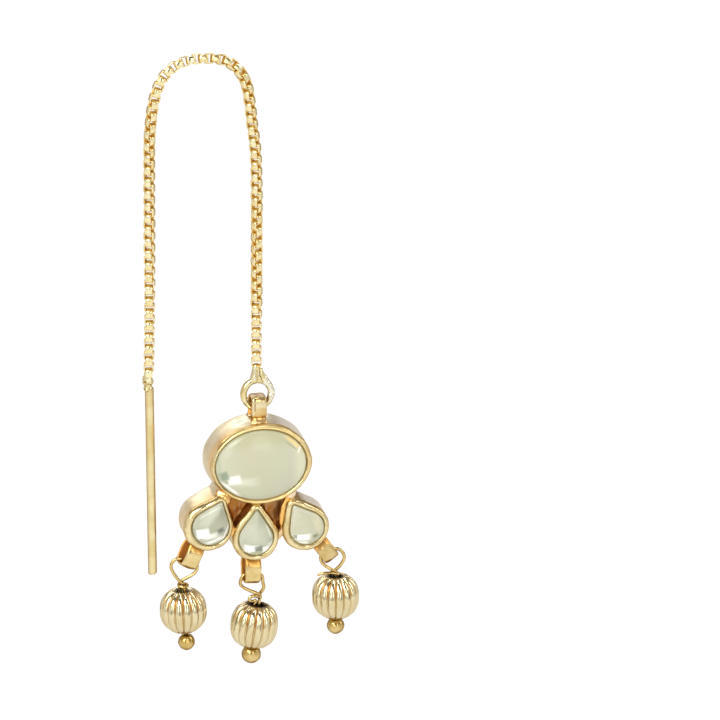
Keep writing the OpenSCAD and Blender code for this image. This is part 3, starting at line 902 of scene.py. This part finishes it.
def makeSettings():
    parts = [settingBody(name) for name in outlines]
    parts.append(cappedRings([toWorld(level(webOutline, settings[end])) for end in ("back", "webTop")]))
    parts += [solderJoint(*joint) for joint in solderJoints]
    parts += [
        blob((face["x"], 0.0, face["z"] + 4.32), (1.0, 1.5, 0.32), rough=0.1, seed=3.0),
        blob((face["x"], -0.6, face["z"] + 4.88), (0.74, 0.34, 0.36), rough=0.05, seed=2.0),
        tube(toWorld(gapRidge), [0.34, 0.42, 0.4, 0.38]),
        blob((face["x"], 1.5, face["z"] + 4.5), (0.95, 0.45, 0.6), rough=0.1, seed=6.0),
        tube(toWorld(footRidge), [0.2, 0.22, 0.2]),
    ]
    mesh = fused("settings_metal", parts, settings["voxel"], smoothing=5)
    depth, nearest, second = placesOn(mesh)[2:]
    softened(mesh, fade(nearest, 0.15, 0.2) * fade(nearest + second, 2.4, -0.4) * (depth > -1.7), 40)
    dented(mesh, depth=0.05, size=1.3, seed=1.0)
    dented(mesh, depth=0.015, size=0.45, seed=5.0)
    markSettings(mesh)
    finishPiece("settings_metal", mesh, satinGold, "pendant", ["pendant_frame"])


def lipNoise(flat, depth, size, seed):
    return depth * np.array([noise.noise(Vector((x / size, y / size, seed))) for x, y in flat])


# Across the lip from its inner edge: share of its width, depth
lipSection = [
    (0.0, 1.5), (0.0, 1.62), (0.06, 1.76), (0.17, 1.89), (0.32, 1.98), (0.48, 2.02), (0.64, 1.98),
    (0.79, 1.88), (0.91, 1.73), (0.99, 1.52), (1.01, 1.3), (0.96, 1.12), (0.8, 1.05), (0.2, 1.05),
]


def makeRims():
    for i, (name, (points, normals, middle)) in enumerate(outlines.items()):
        wall = wallShapes[name]
        bearing = np.degrees(np.arctan2(points[:, 1] - middle[1], points[:, 0] - middle[0]))
        up = np.sin(np.radians(bearing))
        top = fade(up, 0.4, 0.4) * (name == "oval")
        bottom = fade(up, -0.5, -0.3) * (name == "oval")
        outer = wall["lip"] + wall["push"] * np.cos(np.radians(bearing - wall["bearing"]))
        outer += lipNoise(points, depth=0.11, size=1.5, seed=i * 2.0)
        outer += lipNoise(points, depth=0.035, size=0.5, seed=i * 2.0 + 9)
        inner = wall["inner"] + lipNoise(points, depth=0.05, size=0.9, seed=i + 40)
        higher = lipNoise(points, depth=0.08, size=1.1, seed=i * 3.0 + 20)
        higher += lipNoise(points, depth=0.015, size=0.4, seed=i * 3.0 + 31)
        higher = higher * (1 - 0.7 * top) - 0.03  # the oval's lip is smoother at its top
        rows = []
        for share, depth in lipSection:
            grow = inner + (outer - inner) * share
            rows.append(np.column_stack([points + normals * grow[:, None], depth + higher * (depth > 1.5)]))
        faces = gridFaces(len(lipSection), len(points), rowsClose=True)
        mesh = meshFrom("rim_" + name, toWorld(np.concatenate(rows)), faces)
        # Painted light on the top and bottom of the oval's lip
        putMask(mesh, "pale", np.tile(np.maximum(bottom, 0.8 * top), len(lipSection)))
        finishPiece("rim_" + name, mesh, brightGold, "pendant", ["pendant_frame"])


makeSettings()
makeRims()
print("settings ready")


# Bail and straps: flat strips bent round, their feet soldered to the settings

strip = {
    "width": 1.74,
    "thickness": 0.3,
    "edge": 0.12,
    "crown": 0.09,
    "across": 22,
    # how far hammering moved the faces, coarse and fine, and the share by which the width wanders
    "dents": 0.05,
    "fineDents": 0.01,
    "wander": 0.03,
}
# Paths are the middle of the strip, from the front foot round: depth and height over the middle of the bend
bailShape = {
    "centre": (0.0, 6.22),
    "lean": 180.0,
    "path": [
        (0.2, 2.0), (0.46, 1.5), (0.84, 1.06), (0.93, 0.66), (0.94, 0.0), (0.93, -0.5), (0.84, -0.8),
        (0.6, -0.93), (0.2, -0.98), (-0.3, -0.98), (-0.7, -0.86), (-0.92, -0.4), (-1.0, 0.4), (-1.15, 1.1),
        (-1.42, 1.8), (-1.5, 2.2),
    ],
    "share": 0.94,  # of the strip's width
    "shade": 0.26,
    "slit": {"side": 0.5, "wide": 0.08, "deep": 0.06, "low": -0.5, "high": 0.42},
}
strapPath = [
    (0.3, 2.25), (0.42, 1.9), (0.66, 1.5), (0.81, 1.1), (0.85, 0.6), (0.83, 0.1), (0.74, -0.35),
    (0.52, -0.66), (0.2, -0.8), (-0.3, -0.8), (-0.7, -0.68), (-0.92, -0.35), (-1.08, 0.25), (-1.22, 0.9),
    (-1.4, 1.6), (-1.5, 2.2),
]
# Lean, reach from the pear, painted shade on the metal and how far the back is twisted to the left
strapShapes = {
    "left": (-25.0, 4.52, 0.18, 0.28),
    "middle": (-1.0, 4.65, 0.18, 0.12),
    "right": (36.0, 4.4, 0.34, 0.0),
}


def stripSection():  # thickness and width of the strip, its face crowned and its edges rounded
    half, thick, edge, crown = strip["width"] / 2, strip["thickness"] / 2, strip["edge"], strip["crown"]
    run = np.linspace(-half + edge, half - edge, strip["across"])
    turns = np.radians([22.5, 45, 67.5])
    corner = [(thick - edge + edge * math.cos(a), half - edge + edge * math.sin(a)) for a in turns]
    right = [(t - crown, w) for t, w in corner]
    section = [(thick - crown * (w / half) ** 4, w) for w in run] + right + [(edge - thick, half)]
    section += [(-t, w) for t, w in reversed(corner)]
    section += [(-thick, -w) for w in run]
    section += [(-t, -w) for t, w in corner]
    section += [(edge - thick, -half)]
    section += [(t, -w) for t, w in reversed(right)]
    return section


def bentStrip(path, centre, lean, seed, share=1.0, slit=None, shade=0.0, twist=0.0):
    # Only the bail has a slit, painted in shade, and with it come a worn top that is painted lighter, a
    # painted highlight line and a painted reflection patch on its outer face.
    path = evenPath(smoothPath(path, 8), 90)
    ways = np.gradient(path, axis=0)
    ways /= np.linalg.norm(ways, axis=1)[:, None]
    c, s = math.cos(math.radians(lean)), math.sin(math.radians(lean))
    section = stripSection()
    rings = []
    marks = {name: [] for name in ("inner", "solder", "wornAndHighlight", "pale", "shade")}
    for (out, up), way in zip(path, ways):
        ring = []
        for thick, wide in section:
            spot = Vector((wide, out + seed, up))
            dent = strip["dents"] * noise.noise(spot * 1.3) + strip["fineDents"] * noise.noise(spot * 3.5)
            shown = slit is not None and thick > 0 and out > 0.5
            cut = 0.0
            if shown and slit["low"] < up < slit["high"]:
                cut = bell(wide, slit["side"], slit["wide"])
                dent -= slit["deep"] * cut
            side = wide * share * (1 + strip["wander"] * noise.noise(Vector((seed, out, up * 1.2))))
            side -= twist * fade(out, 0.3, -1) * fade(up, 2.0, -1.2)
            rise, depth = up + way[0] * (thick + dent), out - way[1] * (thick + dent)
            ring.append((centre[0] + side * c - rise * s, centre[1] + side * s + rise * c, depth))
            # The bail's worn top is painted lighter, and its line is a painted highlight.
            top = (0.72 - abs(out)) / 0.1 if slit and up < -0.7 else 0.0
            line = 0.8 * bell(wide, 0.66, 0.07) if shown and up < 1 else 0.0
            # Painted orange reflection over the solder where the strip bends down to its foot
            foot = 0.3 * fade(up, 0.2, 0.5) if slit else 0.0
            # A painted reflection patch on the bail's face
            pale = min(up + 0.75, 0.25 - up) / 0.3 if shown and out > 0.6 and wide < 0.5 else 0.0
            # Painted orange shade on the inside of the strip
            marks["inner"].append(float(thick < -0.11))
            marks["solder"].append(max((up - 0.95) / 0.3, foot) if out > 0 else 0.0)
            marks["wornAndHighlight"].append(max(top, line))
            marks["pale"].append(pale)
            marks["shade"].append(max(shade, 0.9 * cut))
        rings.append(toWorld(ring))
    mesh = meshFrom("strip", *cappedRings(rings))
    for name, values in marks.items():
        putMask(mesh, name, values + [0, 0])
    return mesh


def makeStrips():
    bail = bentStrip(**bailShape, seed=2.0)
    finishPiece("bail_strip", bail, stripGold, "pendant", ["pendant_frame"])
    for i, (name, (lean, reach, shade, twist)) in enumerate(strapShapes.items()):
        px, py = pearShapes[name][:2]
        centre = (px + reach * math.sin(math.radians(lean)), py - reach * math.cos(math.radians(lean)))
        strap = bentStrip(strapPath, centre, lean, seed=7.0 + 5 * i, shade=shade, twist=twist)
        finishPiece("strap_" + name, strap, stripGold, "pendant", ["pendant_frame"])


makeStrips()
print("straps ready")


# Stones

stones = {
    "gap": 0.05,  # to the wall of the setting
    "base": 1.27,
    "girdle": 1.7,
    "ovalDome": 1.35,
    "pearDome": 1.05,
    "rings": 16,
    "cloudsPerMetre": 350.0,
    # the fine rings of light near the edge: how close they lie and how far the clouds bend them
    "wave": 75.0,
    "waveBend": 14.0,
}
# Painted patches of reflected light and shade in each stone: place in the face, half sizes, lean, softness,
# colour and strength
paintedStoneReflections = {
    "oval": [
        ((-0.9, 0.3), (2.3, 3.4), -8, 0.9, (184, 183, 155), 0.8),
        ((-2.0, -1.5), (1.1, 0.4), 0, 0.95, (226, 228, 212), 0.45),
        ((-3.1, -1.25), (0.62, 0.44), 12, 0.5, (250, 251, 246), 0.85),
        ((-4.1, -0.85), (0.44, 0.5), 24, 0.45, (132, 144, 124), 0.9),
        ((-3.95, -1.6), (0.3, 0.2), 30, 0.6, (150, 152, 116), 0.7),
        ((-3.4, -2.35), (1.0, 0.12), -40, 0.8, (250, 252, 248), 0.9),
        ((-4.6, 0.2), (0.14, 1.6), 4, 0.8, (160, 172, 138), 0.6),
        ((0.0, 3.3), (3.6, 0.9), 0, 0.9, (177, 176, 142), 0.8),
        ((4.5, 0.1), (0.8, 2.4), 0, 0.95, (214, 213, 182), 0.75),
        ((3.55, 2.35), (1.0, 0.16), -42, 0.8, (232, 204, 124), 0.75),
        ((3.3, 2.05), (0.7, 0.06), -40, 0.6, (150, 138, 84), 0.6),
        ((4.2, 1.75), (0.1, 0.45), -34, 0.5, (250, 250, 240), 0.8),
    ],
    "left": [
        ((-7.3, -6.9), (0.26, 0.45), 38, 0.5, (132, 140, 120), 0.8),
        ((-6.45, -7.1), (0.62, 0.5), 12, 0.35, (253, 254, 252), 0.95),
        ((-5.6, -7.4), (0.7, 0.3), 12, 0.7, (246, 248, 238), 0.7),
        ((-5.2, -8.0), (1.0, 0.22), 22, 0.5, (244, 246, 236), 0.8),
        ((-4.55, -6.8), (0.34, 0.24), 24, 0.6, (106, 112, 100), 0.9),
        ((-3.95, -7.2), (0.09, 0.9), -24, 0.6, (252, 253, 252), 0.9),
        ((-5.6, -5.2), (1.3, 0.4), 52, 0.8, (206, 210, 192), 0.6),
    ],
    "middle": [
        ((-1.15, -9.25), (0.75, 0.45), -6, 0.4, (250, 251, 246), 0.9),
        ((0.4, -9.35), (0.4, 0.36), 14, 0.4, (248, 249, 242), 0.85),
        ((-0.42, -9.2), (0.42, 0.34), 12, 0.35, (120, 126, 112), 0.9),
        ((-0.62, -9.72), (0.55, 0.2), 0, 0.4, (168, 166, 120), 0.8),
        ((0.95, -8.9), (0.3, 0.3), 20, 0.6, (246, 248, 242), 0.6),
        ((0.75, -7.4), (0.1, 0.7), 20, 0.5, (238, 240, 226), 0.6),
        ((-0.5, -7.7), (0.8, 0.8), 0, 0.9, (190, 192, 172), 0.7),
    ],
    "right": [
        ((4.25, -8.3), (0.85, 0.34), 4, 0.5, (253, 254, 251), 0.9),
        ((4.5, -8.95), (0.5, 0.18), 0, 0.5, (246, 248, 232), 0.8),
        ((3.62, -8.25), (0.2, 0.26), 0, 0.4, (132, 136, 110), 0.9),
        ((5.83, -8.15), (0.34, 0.2), 20, 0.4, (128, 132, 100), 0.85),
        ((5.9, -8.9), (0.6, 0.1), 40, 0.6, (150, 152, 106), 0.8),
        ((4.1, -6.2), (0.2, 0.2), 0, 0.7, (176, 176, 142), 0.5),
        ((6.15, -7.1), (0.4, 0.9), 20, 0.8, (206, 201, 170), 0.8),
    ],
}
# Strength of the fine rings of light near the edge
ringStrength = {"oval": 0.0, "left": 0.22, "middle": 0.14, "right": 0.28}
# The two tones of each stone's clouds
stoneTones = {
    "oval": ((186, 188, 164), (187, 186, 165)),
    "left": ((171, 171, 151), (160, 162, 139)),
    "middle": ((180, 182, 163), (171, 175, 152)),
    "right": ((187, 186, 163), (178, 178, 152)),
}


def stoneMaterial(name):
    material, tree, shader = startMaterial("pale green stone " + name)
    place = nodeAt(tree, "ShaderNodeTexCoord", -1500, 0).outputs["Object"]
    cloudy = {"Vector": place, "Scale": stones["cloudsPerMetre"], "Detail": 4.0}
    clouds = nodeAt(tree, "ShaderNodeTexNoise", -1200, 300, cloudy).outputs["Fac"]
    light, dark = stoneTones[name]
    cloud = ranged(tree, -1000, 300, clouds, 0.4, 0.6)
    colour = mixOver(tree, -800, 300, screenColour(*light), screenColour(*dark), cloud)
    for i, ((x, y), (halfWide, halfHigh), lean, softness, tone, strength) in enumerate(paintedStoneReflections[name]):
        local = nodeAt(tree, "ShaderNodeMapping", -1200, -300 * i, {
            "Vector": place,
            "Location": ((face["x"] + x) * mm, 0, (face["z"] + y) * mm),
            "Rotation": (0, -math.radians(lean), 0),
            "Scale": (halfWide * mm, 1, halfHigh * mm),
        }, vector_type="TEXTURE")
        patch = {"Vector": local, "Softness": softness, "Strength": strength}
        mask = nodeAt(tree, "ShaderNodeGroup", -900, -300 * i, patch, node_tree=softPatch).outputs["Mask"]
        colour = mixOver(tree, -600 + 180 * i, 200, colour, screenColour(*tone), mask)
    # The share of the way from the middle of the stone to its edge, with painted fine rings of light and
    # shade near 1.
    edge = nodeAt(tree, "ShaderNodeAttribute", -600, -500, attribute_name="edge").outputs["Fac"]
    uneven = maths(tree, "MULTIPLY", -600, -700, clouds, stones["waveBend"])
    wave = maths(tree, "MULTIPLY_ADD", -400, -500, edge, stones["wave"], uneven)
    wave = ranged(tree, 0, -500, maths(tree, "SINE", -200, -500, wave), -0.4, 0.4)
    rise = ranged(tree, -400, -800, edge, 0.78, 0.9, 0.0, ringStrength[name])
    # Painted shade: a dark line along the stone's edge
    rim = ranged(tree, -400, -1100, edge, 0.965, 0.995, 0.0, 0.3)
    rings = mixOver(tree, 100, -300, screenColour(150, 154, 118), screenColour(250, 251, 244), wave)
    colour = mixOver(tree, 200, 100, colour, rings, rise)
    feed(tree, shader, {
        "Base Color": mixOver(tree, 300, 0, colour, screenColour(150, 146, 104), rim),
        "Roughness": 0.12,
        "IOR": 1.52,
        "Specular IOR Level": 0.24,
        "Coat Weight": 0.06,
        "Coat Roughness": 0.04,
    })
    return material


def makeStones():
    for name, (points, normals, middle) in outlines.items():
        dome = stones["ovalDome"] if name == "oval" else stones["pearDome"]
        rows = [(0.99, stones["base"]), (1.0, stones["base"] + 0.08)]
        for a in np.linspace(0, math.pi / 2, stones["rings"] + 1)[:-1]:
            rows.append((math.cos(a), stones["girdle"] + dome * math.sin(a)))
        reach = points - normals * stones["gap"] - middle
        rings = [toWorld(level(middle + reach * share, depth)) for share, depth in rows]
        mesh = meshFrom("stone", *cappedRings(rings))
        putMask(mesh, "edge", [share for share, depth in rows for point in points] + [1.0, 0.0])
        node = "stone_oval" if name == "oval" else "stone_pear_" + name
        pieceName = "oval_stone" if name == "oval" else "pear_stone_" + name
        finishPiece(pieceName, mesh, stoneMaterial(name), "pendant", [node])


makeStones()
print("stones ready")


# Beads

beads = {
    "radius": 2.55,
    "ribs": 16,
    "height": 4.6,
    "hole": 0.65,
    "groove": 0.4,
    "rows": 34,
    "across": 16,
    "merge": 0.002,
}
# Painted dark reflections as streaks that point up from the middle of a bead, one on each rib and each of its
# own length
paintedStreaks = {"beside": 0.14, "width": 0.08, "foot": 0.15, "tip": 1.15, "vary": 0.9, "taper": 0.5}
# As x and y in the face: the wire's neck, the ball and the bead. Also the ball's radius, how far the black
# patch reaches from the hole and how square the bead's outline is, where 2 is round
drops = {
    "left": {
        "neck": (-8.0, -13.42), "ball": (-7.78, -20.05), "bead": (-8.12, -16.46),
        "ballRadius": 0.9, "blackPatch": 0.72, "square": 2.12,
    },
    "middle": {
        "neck": (0.24, -15.4), "ball": (-0.72, -21.95), "bead": (-0.4, -18.68),
        "ballRadius": 1.03, "blackPatch": 1.15, "square": 2.4,
    },
    "right": {
        "neck": (8.5, -13.28), "ball": (8.49, -19.4), "bead": (8.5, -16.06),
        "ballRadius": 0.93, "blackPatch": 0.85, "square": 2.15,
    },
}


def makeRibTree():
    inputs = {"Geometry": "Geometry", "Rib count": "Int", "Merge distance": "Float", "Metal": "Material"}
    tree, given, end = newGroup("ribbed bead", "GeometryNodeTree", inputs, {"Geometry": "Geometry"})
    spots = nodeAt(tree, "GeometryNodePoints", -1000, 200, {"Count": given["Rib count"]})
    index = nodeAt(tree, "GeometryNodeInputIndex", -1200, -200)
    share = maths(tree, "DIVIDE", -1000, -200, index, given["Rib count"])
    angle = maths(tree, "MULTIPLY", -800, -200, share, 2 * math.pi)
    spin = nodeAt(tree, "FunctionNodeAxisAngleToRotation", -600, -200, {"Axis": (0, 0, 1), "Angle": angle})
    placed = {"Points": spots, "Instance": given["Geometry"], "Rotation": spin}
    place = nodeAt(tree, "GeometryNodeInstanceOnPoints", -300, 100, placed)
    real = nodeAt(tree, "GeometryNodeRealizeInstances", -100, 100, {"Geometry": place})
    near = {"Geometry": real, "Distance": given["Merge distance"]}
    merge = nodeAt(tree, "GeometryNodeMergeByDistance", 100, 100, near)
    soft = nodeAt(tree, "GeometryNodeSetShadeSmooth", 300, 100, {"Geometry": merge})
    metal = nodeAt(tree, "GeometryNodeSetMaterial", 500, 100, {"Geometry": soft, "Material": given["Metal"]})
    feed(tree, end, {"Geometry": metal})
    return tree


ribTree = makeRibTree()


def ribGore(square):  # one rib with its share of the hole, as a closed band about the axis
    radius, hole, top = beads["radius"], beads["hole"], beads["height"] / 2
    endAngle = math.asin((top / radius) ** (square / 2))
    outer = []
    for k in range(beads["rows"] + 1):
        up = endAngle * (2 * k / beads["rows"] - 1)
        high = math.copysign(abs(math.sin(up)) ** (2 / square), up)
        outer.append((radius * math.cos(up) ** (2 / square), radius * high, 1.0))
    reach = outer[-1][0]
    endRing = [(reach * 0.93, top, 0.7), (reach * 0.8, top - 0.02, 0.2), (hole + 0.06, top - 0.06, 0.0)]
    endRing.append((hole, top - 0.14, 0.0))
    inside = [(hole, top * t, 0.0) for t in (0.6, 0.2, -0.2, -0.6)]
    loop = outer + endRing + inside + [(r, -z, ribbed) for r, z, ribbed in reversed(endRing)]
    half = math.pi / beads["ribs"]
    points = []
    for r, z, ribbed in loop:
        for c in range(beads["across"] + 1):
            t = 2 * c / beads["across"] - 1
            cut = beads["groove"] * ribbed * (1 - math.sqrt(1 - (0.97 * t) ** 2)) * min(1, r / 1.6)
            points.append(((r - cut) * math.cos(half * t), (r - cut) * math.sin(half * t), z))
    faces = gridFaces(len(loop), beads["across"] + 1, rowsClose=True, columnsClose=False)
    mesh = bpy.data.meshes.new("rib")
    mesh.from_pydata(points, [], faces)
    return mesh


def markBead(mesh, square, blackPatch):
    spots = pointsOf(mesh)
    x, y, z = spots.T
    reach = np.linalg.norm(spots[:, :2], axis=1)
    around = np.arctan2(y, x)
    high = np.clip(np.abs(z) / beads["radius"], 0, 1)
    ideal = beads["radius"] * (1 - high ** square) ** (1 / square)
    upper = fade(z, 0.1, 0.6)  # above the bead's middle
    # A groove is where the metal lies deeper than the round outline, and there shade is painted.
    groove = fade(ideal - reach + 0.07 * upper, 0.15, 0.12) * (reach > beads["hole"] + 0.3)
    ragged = np.array([noise.noise(Vector((math.cos(a) * 5, math.sin(a) * 5, 2))) for a in around])
    rib = around * beads["ribs"] / (2 * math.pi)
    number = np.floor(rib + 0.5)
    ribNoise = np.array([noise.noise(Vector((n % beads["ribs"] * 1.7, square * 9, 0))) for n in number])
    # Painted dark reflections as streaks, one on each rib
    toothTip = paintedStreaks["tip"] + paintedStreaks["vary"] * ribNoise
    toothWidth = paintedStreaks["width"] * np.clip((toothTip - z) / paintedStreaks["taper"], 0.01, 1)
    paintedStreak = np.clip(1.5 - np.abs(rib - number - paintedStreaks["beside"]) / toothWidth, 0, 1)
    paintedStreak *= fade(z, paintedStreaks["foot"], 0.15) * np.clip(0.6 + 2 * ribNoise, 0, 0.9)
    # Painted light on the bead's upper half
    putMask(mesh, "pale", upper)
    # Painted light on the top of the bead
    putMask(mesh, "crown", fade(z, 1.1, 0.7))
    putMask(mesh, "groove", groove * (0.45 + 0.55 * upper))
    putMask(mesh, "paintedStreak", paintedStreak)
    putMask(mesh, "blackPatch", fade(reach - 0.45 * ragged, blackPatch, -0.12) * (z > 1.8))


def makeBeads():
    for name, drop in drops.items():
        given = {"Rib count": beads["ribs"], "Merge distance": beads["merge"], "Metal": ribbedGold}
        mesh = facedOut(throughNodes("bead", ribGore(drop["square"]), ribTree, given))
        markBead(mesh, drop["square"], drop["blackPatch"])
        lean = math.atan2(drop["neck"][0] - drop["ball"][0], drop["neck"][1] - drop["ball"][1])
        mesh.transform(Matrix.Rotation(lean, 4, "Y"))
        mesh.transform(Matrix.Translation((face["x"] + drop["bead"][0], 0, face["z"] + drop["bead"][1])))
        dented(mesh, depth=0.03, size=1.6, seed=3.0)
        finishPiece("ribbed_bead_" + name, mesh, None, "pendant", ["bead_" + name])


makeBeads()
print("beads ready")


# Head pins: ball, wire through the bead, a loop through the strap and its wrapped end

pinWire = 0.178  # radius
shaftStart = 0.2  # how far below the neck the straight wire begins
# x, y and depth in the face
pinPaths = {
    "left": [
        (-7.95, -13.75, 0), (-8.05, -13.5, 0.06), (-8.3, -13.32, 0.15), (-8.52, -13.12, 0.17),
        (-9.02, -12.45, 0.06), (-9.38, -11.76, 0), (-9.4, -11.18, 0), (-9.05, -10.72, 0), (-8.5, -10.6, 0),
        (-7.45, -10.98, 0), (-6.68, -11.38, 0), (-6.6, -11.85, 0), (-6.8, -12.25, 0), (-7.2, -12.6, -0.06),
        (-7.95, -13.0, -0.16), (-8.3, -13.25, -0.2), (-8.42, -13.45, -0.1),
    ],
    "middle": [
        (0.2, -15.75, 0), (0.16, -15.3, 0.1), (-0.1, -15.1, 0.2), (-0.91, -14.73, 0.12),
        (-1.62, -14.33, 0.04), (-1.9, -13.88, 0), (-1.78, -13.34, 0), (-1.42, -12.98, 0),
        (-0.64, -12.98, 0), (0.14, -12.98, 0), (0.5, -13.3, 0), (0.56, -13.9, 0), (0.66, -14.47, 0),
        (0.5, -14.9, -0.08), (0.3, -15.25, -0.18), (0.3, -15.7, -0.12),
    ],
    "right": [
        (8.5, -13.65, 0), (8.62, -13.4, 0.1), (8.06, -13.01, 0.17), (7.36, -12.54, 0.08), (6.96, -12.08, 0),
        (6.88, -11.55, 0), (7.3, -11.2, 0), (7.75, -10.92, 0), (8.35, -10.72, 0), (8.9, -10.84, 0),
        (9.35, -11.32, 0), (9.42, -11.94, 0), (9.05, -12.64, -0.06), (8.56, -13.15, -0.17),
        (8.3, -13.4, -0.1),
    ],
}
# The wrapped ends
pinTails = {
    "left": [
        (-8.5, -13.45, -0.2), (-8.6, -13.62, 0.1), (-8.2, -13.72, 0.42), (-7.8, -13.66, 0.3),
        (-7.7, -13.58, -0.1), (-8.1, -13.56, -0.36),
    ],
    "middle": [
        (0.3, -15.7, -0.2), (0.05, -15.5, 0.15), (-0.4, -15.32, 0.3), (-0.88, -15.4, 0.34),
        (-1.0, -15.7, 0.4), (-0.65, -15.84, 0.5), (-0.32, -15.72, 0.5), (-0.4, -16.1, 0.52),
        (-0.62, -16.55, 0.42),
    ],
    "right": [
        (8.2, -13.35, -0.25), (8.75, -13.52, 0.1), (8.7, -13.5, 0.36), (8.2, -13.34, 0.4),
        (7.6, -13.3, 0.3), (7.0, -13.36, 0.2), (6.62, -13.52, 0.1),
    ],
}


def makePins():
    for i, (name, drop) in enumerate(drops.items()):
        loop = evenPath(smoothPath(toWorld(pinPaths[name]), 12), 110)
        tail = evenPath(smoothPath(toWorld(pinTails[name]), 12), 50)
        neck = np.array((drop["neck"][0], drop["neck"][1] - shaftStart, 0))
        ball = np.array((*drop["ball"], 0))
        shaft = toWorld([neck, (neck + ball) / 2, ball])
        parts = [
            tube(loop, [pinWire, pinWire], sides=14),
            tube(tail, [pinWire, pinWire, 0.9 * pinWire, 0.7 * pinWire], sides=14),
            tube(shaft, [pinWire, pinWire], sides=14),
        ]
        wire = meshFrom("wire", *joinParts(parts))
        dented(wire, depth=0.015, size=0.5, seed=i + 1.0)
        r = drop["ballRadius"]
        head = meshFrom("ball", *blob(shaft[-1], (r, r, r), rough=0.03, seed=i * 4.0, around=64, rows=40))
        dented(head, depth=0.03, size=0.4, seed=i + 11.0)
        dented(head, depth=0.012, size=0.17, seed=i + 21.0)
        for part, mesh in (("pin_wire_", wire), ("pin_ball_", head)):
            finishPiece(part + name, mesh, pinGold, "pendant", ["head_pin_" + name])


makePins()
print("pins ready")


# Floor and light

stage = {
    "floor": -0.33,
    "floorSize": 5.0,
    "keyFrom": (-0.9, -1.0, 1.3),
    "keyPower": 1.2,
    "keyAngle": 25,
    "aim": (0, 0, -0.035),  # the softboxes look at the middle of the earring
    "worldLow": 0.95,
    "worldHigh": 0.34,
    "worldWarm": (1, 0.83, 0.6, 1),
    "rightShade": 0.9,  # the room is dimmer to the right
    "bandLeft": 0.12,  # light left in the dim band
    "bandAcross": (0.978, -0.208, 0),
}
# Place, size, power and tone of each softbox
softboxes = {
    "left box": ((-1.5, -0.9, 1.3), (1.2, 1.2), 10.5, (1, 1, 1)),
    "right box": ((1.7, -0.3, 1.1), (0.8, 1.2), 9, (1, 1, 1)),
    "back box": ((-0.2, 2.2, 1.4), (2.4, 0.9), 14.5, (1, 1, 1)),
    "top box": ((0.2, 0.0, 2.4), (1.2, 0.8), 13.5, (0.84, 0.93, 1)),
    "front left box": ((-0.92, -1.31, 0.62), (0.56, 1.15), 5, (1, 1, 1)),
    "front right box": ((0.31, -1.57, 0.62), (0.56, 1.15), 5, (1, 1, 1)),
}


def makeFloor():
    half, z = stage["floorSize"] / 2, stage["floor"]
    mesh = bpy.data.meshes.new("floor")
    corners = [(-half, -half, z), (half, -half, z), (half, half, z), (-half, half, z)]
    mesh.from_pydata(corners, [], [(0, 1, 2, 3)])
    material, tree, shader = startMaterial("plain pale floor")
    feed(tree, shader, {"Base Color": (0.97, 0.98, 1.0, 1), "Roughness": 1.0, "Specular IOR Level": 0.0})
    mesh.materials.append(material)
    floor = addObject("floor", mesh)


def makeSun():
    data = bpy.data.lights.new("window light", "SUN")
    data.energy = stage["keyPower"]
    data.angle = math.radians(stage["keyAngle"])
    aim(addObject("window light", data), -Vector(stage["keyFrom"]))


def makeSoftboxes():
    for name, (place, size, power, tone) in softboxes.items():
        data = bpy.data.lights.new(name, "AREA")
        data.shape = "RECTANGLE"
        data.size, data.size_y = size
        data.energy = power
        data.color = tone
        lamp = addObject(name, data)
        lamp.location = place
        aim(lamp, Vector(stage["aim"]) - Vector(place))


def makeRoom():
    world = bpy.data.worlds.new("studio")
    world.use_nodes = True
    bpy.context.scene.world = world
    tree = world.node_tree
    way = nodeAt(tree, "ShaderNodeTexCoord", -900, 0).outputs["Generated"]
    parts = nodeAt(tree, "ShaderNodeSeparateXYZ", -700, 0, {"Vector": way}).outputs
    rise = ranged(tree, -500, 0, parts["Z"], 0.22, 0.42, stage["worldLow"], stage["worldHigh"], smooth=True)
    shade = ranged(tree, -500, 300, parts["X"], 0.2, 0.9, 1.0, stage["rightShade"], smooth=True)
    both = maths(tree, "MULTIPLY", -250, 100, shade, rise)
    # A dim upright band on the camera's side, where a real room has the camera and the person behind it.
    ways = {0: way, 1: stage["bandAcross"]}
    across = nodeAt(tree, "ShaderNodeVectorMath", -700, 600, ways, operation="DOT_PRODUCT").outputs["Value"]
    off = maths(tree, "ABSOLUTE", -500, 600, across)
    narrow = ranged(tree, -300, 600, off, 0.16, 0.22, 1.0, 0.0, smooth=True)
    above = ranged(tree, -300, 850, parts["Z"], 0.04, 0.12, smooth=True)
    band = maths(tree, "MULTIPLY", -100, 700, narrow, above)
    left = ranged(tree, 50, 700, band, 0.0, 1.0, 1.0, stage["bandLeft"])
    warm = ranged(tree, -500, -300, parts["Z"], 0.22, 0.42, smooth=True)
    feed(tree, tree.nodes["Background"], {
        "Strength": maths(tree, "MULTIPLY", 200, 400, both, left),
        "Color": mixOver(tree, -250, -200, (1, 1, 1, 1), stage["worldWarm"], warm),
    })


makeFloor()
makeSun()
makeSoftboxes()
makeRoom()
bpy.context.scene.view_settings.view_transform = "Standard"
print("stage ready")
